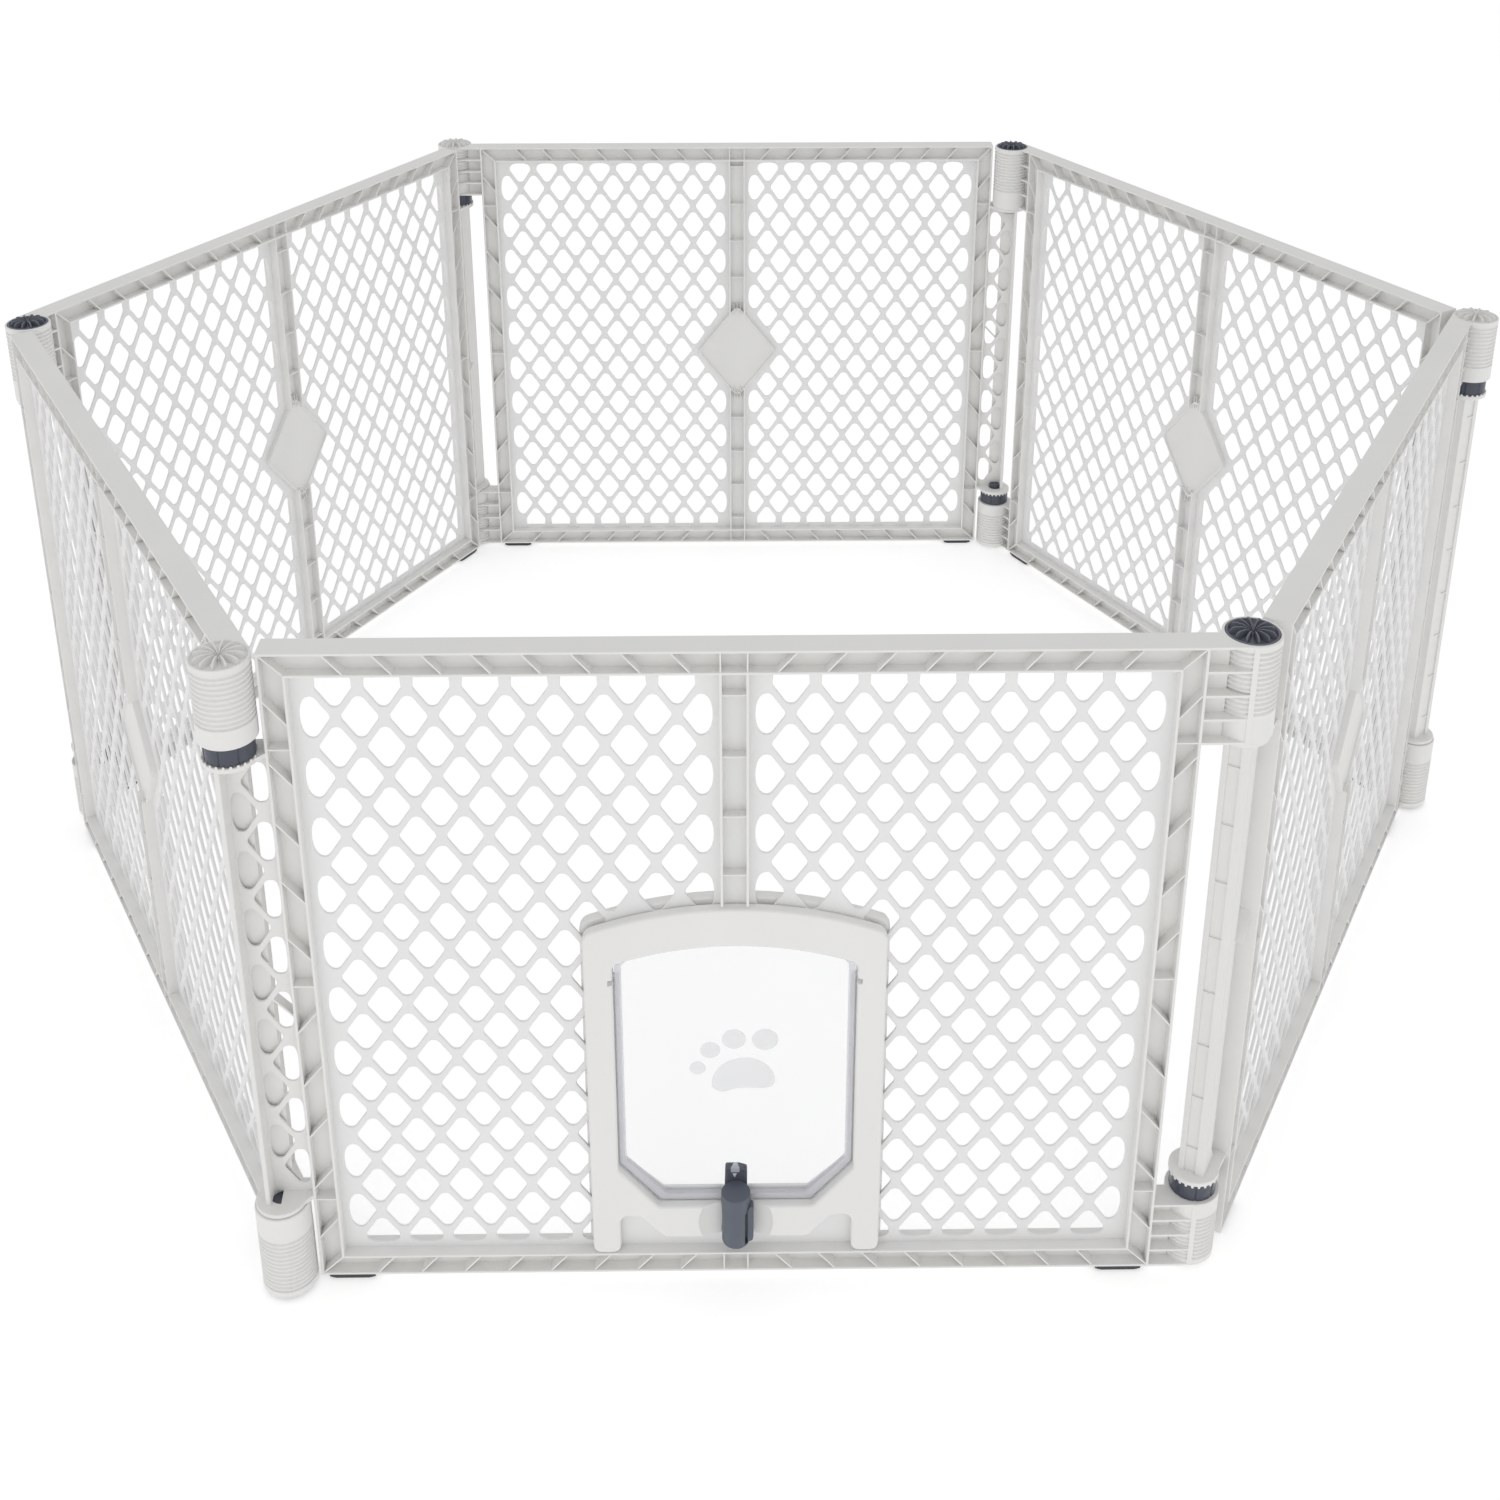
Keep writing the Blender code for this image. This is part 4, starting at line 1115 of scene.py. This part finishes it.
def noise(tree, scale, detail=4.0, stretch=None):
    """A noise texture in the panel's own coordinates."""
    coordinates = tree.nodes.new("ShaderNodeTexCoord")
    source = coordinates.outputs["Object"]
    if stretch:
        mapping = tree.nodes.new("ShaderNodeMapping")
        mapping.inputs["Scale"].default_value = stretch
        tree.links.new(source, mapping.inputs["Vector"])
        source = mapping.outputs["Vector"]
    texture = tree.nodes.new("ShaderNodeTexNoise")
    texture.inputs["Scale"].default_value = scale
    texture.inputs["Detail"].default_value = detail
    tree.links.new(source, texture.inputs["Vector"])
    return texture.outputs["Fac"]


def ramp(tree, source, low, high, start=0.35, end=0.65):
    """Maps a 0 to 1 value onto the stretch between two colours or two greys."""
    node = tree.nodes.new("ShaderNodeValToRGB")
    first, second = node.color_ramp.elements
    first.position, second.position = start, end
    first.color = (*low, 1.0)
    second.color = (*high, 1.0)
    tree.links.new(source, node.inputs["Fac"])
    return node.outputs["Color"]


def grain(tree, shader, source, strength, distance):
    """A fine relief over the surface."""
    bump = tree.nodes.new("ShaderNodeBump")
    bump.inputs["Strength"].default_value = strength
    bump.inputs["Distance"].default_value = distance
    tree.links.new(source, bump.inputs["Height"])
    tree.links.new(bump.outputs["Normal"], shader.inputs["Normal"])


def moulded_plastic(name, light, dark, roughness, grain_strength=0.25):
    """Moulded plastic: faint flow marks in its colour, uneven gloss and a fine grain."""
    material, tree, shader = new_material(name, light, roughness)
    flow = noise(tree, 9.0, 5.0, (1.0, 1.0, 0.35))
    tree.links.new(ramp(tree, flow, dark, light), shader.inputs["Base Color"])
    gloss = noise(tree, 60.0, 3.0)
    rough, smooth = (roughness + 0.07,) * 3, (roughness - 0.06,) * 3
    tree.links.new(ramp(tree, gloss, smooth, rough), shader.inputs["Roughness"])
    grain(tree, shader, noise(tree, 1500.0, 2.0), grain_strength, 0.00012)
    return material


def clear_plastic(name, colour, alpha, roughness):
    """Clear plastic seen by its tint, its gloss and a few faint ripples."""
    material, tree, shader = new_material(name, colour, roughness)
    shader.inputs["Alpha"].default_value = alpha
    shader.inputs["IOR"].default_value = 1.49
    ripple = noise(tree, 12.0, 2.0)
    grain(tree, shader, ripple, 0.10, 0.0006)
    shade = ramp(tree, ripple, tuple(c * 0.96 for c in colour), colour)
    tree.links.new(shade, shader.inputs["Base Color"])
    return material


OFF_WHITE = moulded_plastic("off_white_plastic", (0.835, 0.830, 0.815), (0.812, 0.807, 0.794), 0.46)
LATTICE_WHITE = moulded_plastic("lattice_plastic", (0.835, 0.835, 0.832), (0.812, 0.813, 0.810), 0.48)
# Painted light: the ledge is the same off-white plastic, made lighter to offset the shade in its
# recess behind the door frame.
LEDGE_PAINTED_LIGHT_WHITE = moulded_plastic("ledge_plastic_painted_light", (0.920, 0.920, 0.925), (0.900, 0.900, 0.905), 0.46)
BADGE_WHITE = moulded_plastic("badge_plastic", (0.800, 0.795, 0.782), (0.776, 0.772, 0.760), 0.50)
SLATE = moulded_plastic("slate_plastic", (0.066, 0.073, 0.100), (0.056, 0.062, 0.086), 0.30, 0.18)
# Painted light: the caps use a lighter copy of the slate than the lock rings, standing in for the
# light on their upward-facing finned tops.
CAP_SLATE_PAINTED_LIGHT = moulded_plastic("cap_plastic_painted_light", (0.144, 0.151, 0.188), (0.127, 0.134, 0.168), 0.34, 0.18)
KNOB_SLATE = moulded_plastic("knob_plastic", (0.098, 0.115, 0.150), (0.085, 0.100, 0.132), 0.42, 0.22)
RUBBER = moulded_plastic("foot_rubber", (0.060, 0.062, 0.072), (0.045, 0.047, 0.055), 0.72, 0.6)
CLEAR = clear_plastic("clear_plastic", (0.30, 0.32, 0.38), 0.055, 0.06)
# The flap's rim is real clear plastic, but its pale, half-opaque tint is painted light: it stands in
# for light caught in the thick border and lightens the shaded ledge seen through it.
RIM_CLEAR_PAINTED_LIGHT = clear_plastic("rim_plastic_painted_light", (0.88, 0.88, 0.93), 0.55, 0.10)
FROSTED = clear_plastic("frosted_print", (0.74, 0.745, 0.76), 0.28, 0.55)
TONGUE = clear_plastic("tongue_plastic", (0.80, 0.83, 0.90), 0.55, 0.12)
MARK = moulded_plastic("pointer_paint", (0.80, 0.80, 0.82), (0.74, 0.74, 0.77), 0.5, 0.1)


# ---------------- placing


def corner_matrix(index):
    """The panel's first corner on the floor, turned to the panel's direction."""
    radius = FLIPPED_RADIUS if index % 2 else UPRIGHT_RADIUS
    angle = FIRST_CORNER + CORNER_TURN * index
    corner = (CENTRE_SHIFT + radius * math.cos(angle), radius * math.sin(angle), FOOT_HEIGHT)
    return Matrix.Translation(corner) @ Matrix.Rotation(CORNER_TURN * index, 4, "Z")


def panel_matrix(index):
    """A panel's place. Every second panel stands upside down."""
    if index % 2:
        turn = Matrix.Translation((0.0, -AXIS_Y, HEIGHT)) @ Matrix.Rotation(math.pi, 4, "X")
        return corner_matrix(index) @ turn
    return corner_matrix(index) @ Matrix.Translation((0.0, AXIS_Y, 0.0))


def piece(name, mesh, material, matrix, body, node, smooth_normals=False):
    """Adds a piece in its place, riding its body and standing for its CAD node."""
    if not mesh.materials:
        mesh.materials.append(material)
    obj = added(name, mesh)
    obj.matrix_world = matrix
    if smooth_normals:
        weighted = obj.modifiers.new("normals", "WEIGHTED_NORMAL")
        weighted.keep_sharp = True
    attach(obj, body)
    if node:
        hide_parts(node)
    return obj


def build_panels():
    mullion_low, mullion_high = FRAME_WIDTH - 0.001, HEIGHT - FRAME_WIDTH + 0.001
    around_badge = [(mullion_low, MIDDLE - badge_tip()), (MIDDLE + badge_tip(), mullion_high)]
    plain = moulding_mesh("plain_moulding", around_badge)
    front = moulding_mesh("front_moulding", [(DOOR_TOP + 0.0035, mullion_high)])
    plain_lattice = plain_lattice_mesh()
    front_lattice = front_lattice_mesh()
    badge = badge_mesh()
    foot = foot_mesh()
    caps = {joint: cap_mesh(joint) for joint in (False, True)}
    rings = {joint: ring_mesh(joint) for joint in (False, True)}
    foot_starts = {"near": STILE_START + FOOT_INSET, "far": STILE_END - FOOT_INSET - FOOT_LENGTH}
    for index, name in enumerate(PANELS):
        body = f"{name}_panel"
        matrix = panel_matrix(index)
        is_front = index == 0
        hinged = index != len(PANELS) - 1
        parts = [
            ("moulding", front if is_front else plain, OFF_WHITE, "frame"),
            ("grille", front_lattice if is_front else plain_lattice, LATTICE_WHITE, "lattice"),
            ("cap", caps[hinged], CAP_SLATE_PAINTED_LIGHT, "hinge_cap"),
            ("collar", rings[hinged], SLATE, "lock_ring"),
        ]
        if not is_front:
            parts.append(("badge", badge, BADGE_WHITE, "badge_plate"))
        for part, mesh, material, node in parts:
            piece(f"{name}_{part}", mesh, material, matrix, body, f"{name}_{node}")
        y = -AXIS_Y if index % 2 else AXIS_Y
        for end, x in foot_starts.items():
            place = corner_matrix(index) @ Matrix.Translation((x, y, 0.0))
            piece(f"{name}_{end}_foot", foot, RUBBER, place, body, f"{name}_foot_{end}")


def build_door():
    matrix = panel_matrix(0)
    body = "front_panel"
    piece("outer_door_trim", outer_frame_mesh(), OFF_WHITE, matrix, body, "door_outer_frame", True)
    piece("inner_door_trim", inner_frame_mesh(), OFF_WHITE, matrix, body, "door_inner_frame", True)
    piece("door_ledge", ledge_mesh(), LEDGE_PAINTED_LIGHT_WHITE, matrix, body, None)
    piece("clear_flap", flap_mesh(), CLEAR, matrix, "door_flap", "door_flap")
    piece("flap_rim", flap_rim_mesh(), RIM_CLEAR_PAINTED_LIGHT, matrix, "door_flap", None)
    piece("flap_paw_print", paw_mesh(), FROSTED, matrix, "door_flap", None)
    piece("latch_knob", dial_mesh(), KNOB_SLATE, matrix, "latch_dial", "latch_dial", True)
    piece("upper_catch", catch_mesh(), SLATE, matrix, body, "latch_stop")
    piece("catch_pointer", pointer_mesh(), MARK, matrix, body, None)
    piece("clear_tongue", tongue_mesh(), TONGUE, matrix, body, None)


# ---------------- stage


def build_floor():
    """A pale floor, a little brighter than the light on it."""
    material, tree, shader = new_material("pale_floor", (0.90, 0.90, 0.90), 0.9, 0.1)
    tint = ramp(tree, noise(tree, 1.5, 2.0), (0.895, 0.895, 0.895), (0.905, 0.905, 0.905))
    tree.links.new(tint, shader.inputs["Base Color"])
    shader.inputs["Emission Color"].default_value = (1.0, 1.0, 1.0, 1.0)
    shader.inputs["Emission Strength"].default_value = FLOOR_GLOW
    shape = bmesh.new()
    bmesh.ops.create_grid(shape, x_segments=8, y_segments=8, size=FLOOR_SIZE)
    mesh = finished("floor", shape)
    mesh.materials.append(material)
    floor = added("floor", mesh)


def build_lights():
    """Even white light from all round, and three large soft lamps."""
    world = bpy.data.worlds.new("studio")
    world.use_nodes = True
    background = world.node_tree.nodes["Background"]
    background.inputs["Color"].default_value = (1.0, 1.0, 1.0, 1.0)
    background.inputs["Strength"].default_value = WORLD_STRENGTH
    bpy.context.scene.world = world
    for name, place, size, power, colour in LAMPS:
        light = bpy.data.lights.new(name, "AREA")
        light.size = size
        light.energy = power
        light.color = colour
        lamp = added(name, light)
        lamp.location = place
        aim = Vector(LAMP_TARGET) - Vector(place)
        lamp.rotation_euler = aim.to_track_quat("-Z", "Y").to_euler()


def build_camera():
    """A camera in front, looking down into the pen."""
    camera = bpy.data.cameras.new("camera")
    camera.sensor_width = 36.0
    camera.lens = LENS
    camera.shift_y = LENS_SHIFT
    camera.clip_end = 60.0
    obj = added("camera", camera)
    obj.location = CAMERA_PLACE
    obj.rotation_euler = (math.radians(90.0 - LOOK_DOWN), 0.0, math.radians(-LOOK_RIGHT))
    bpy.context.scene.camera = obj


build_panels()
build_door()
build_floor()
build_lights()
build_camera()
bpy.context.scene.view_settings.view_transform = "Standard"
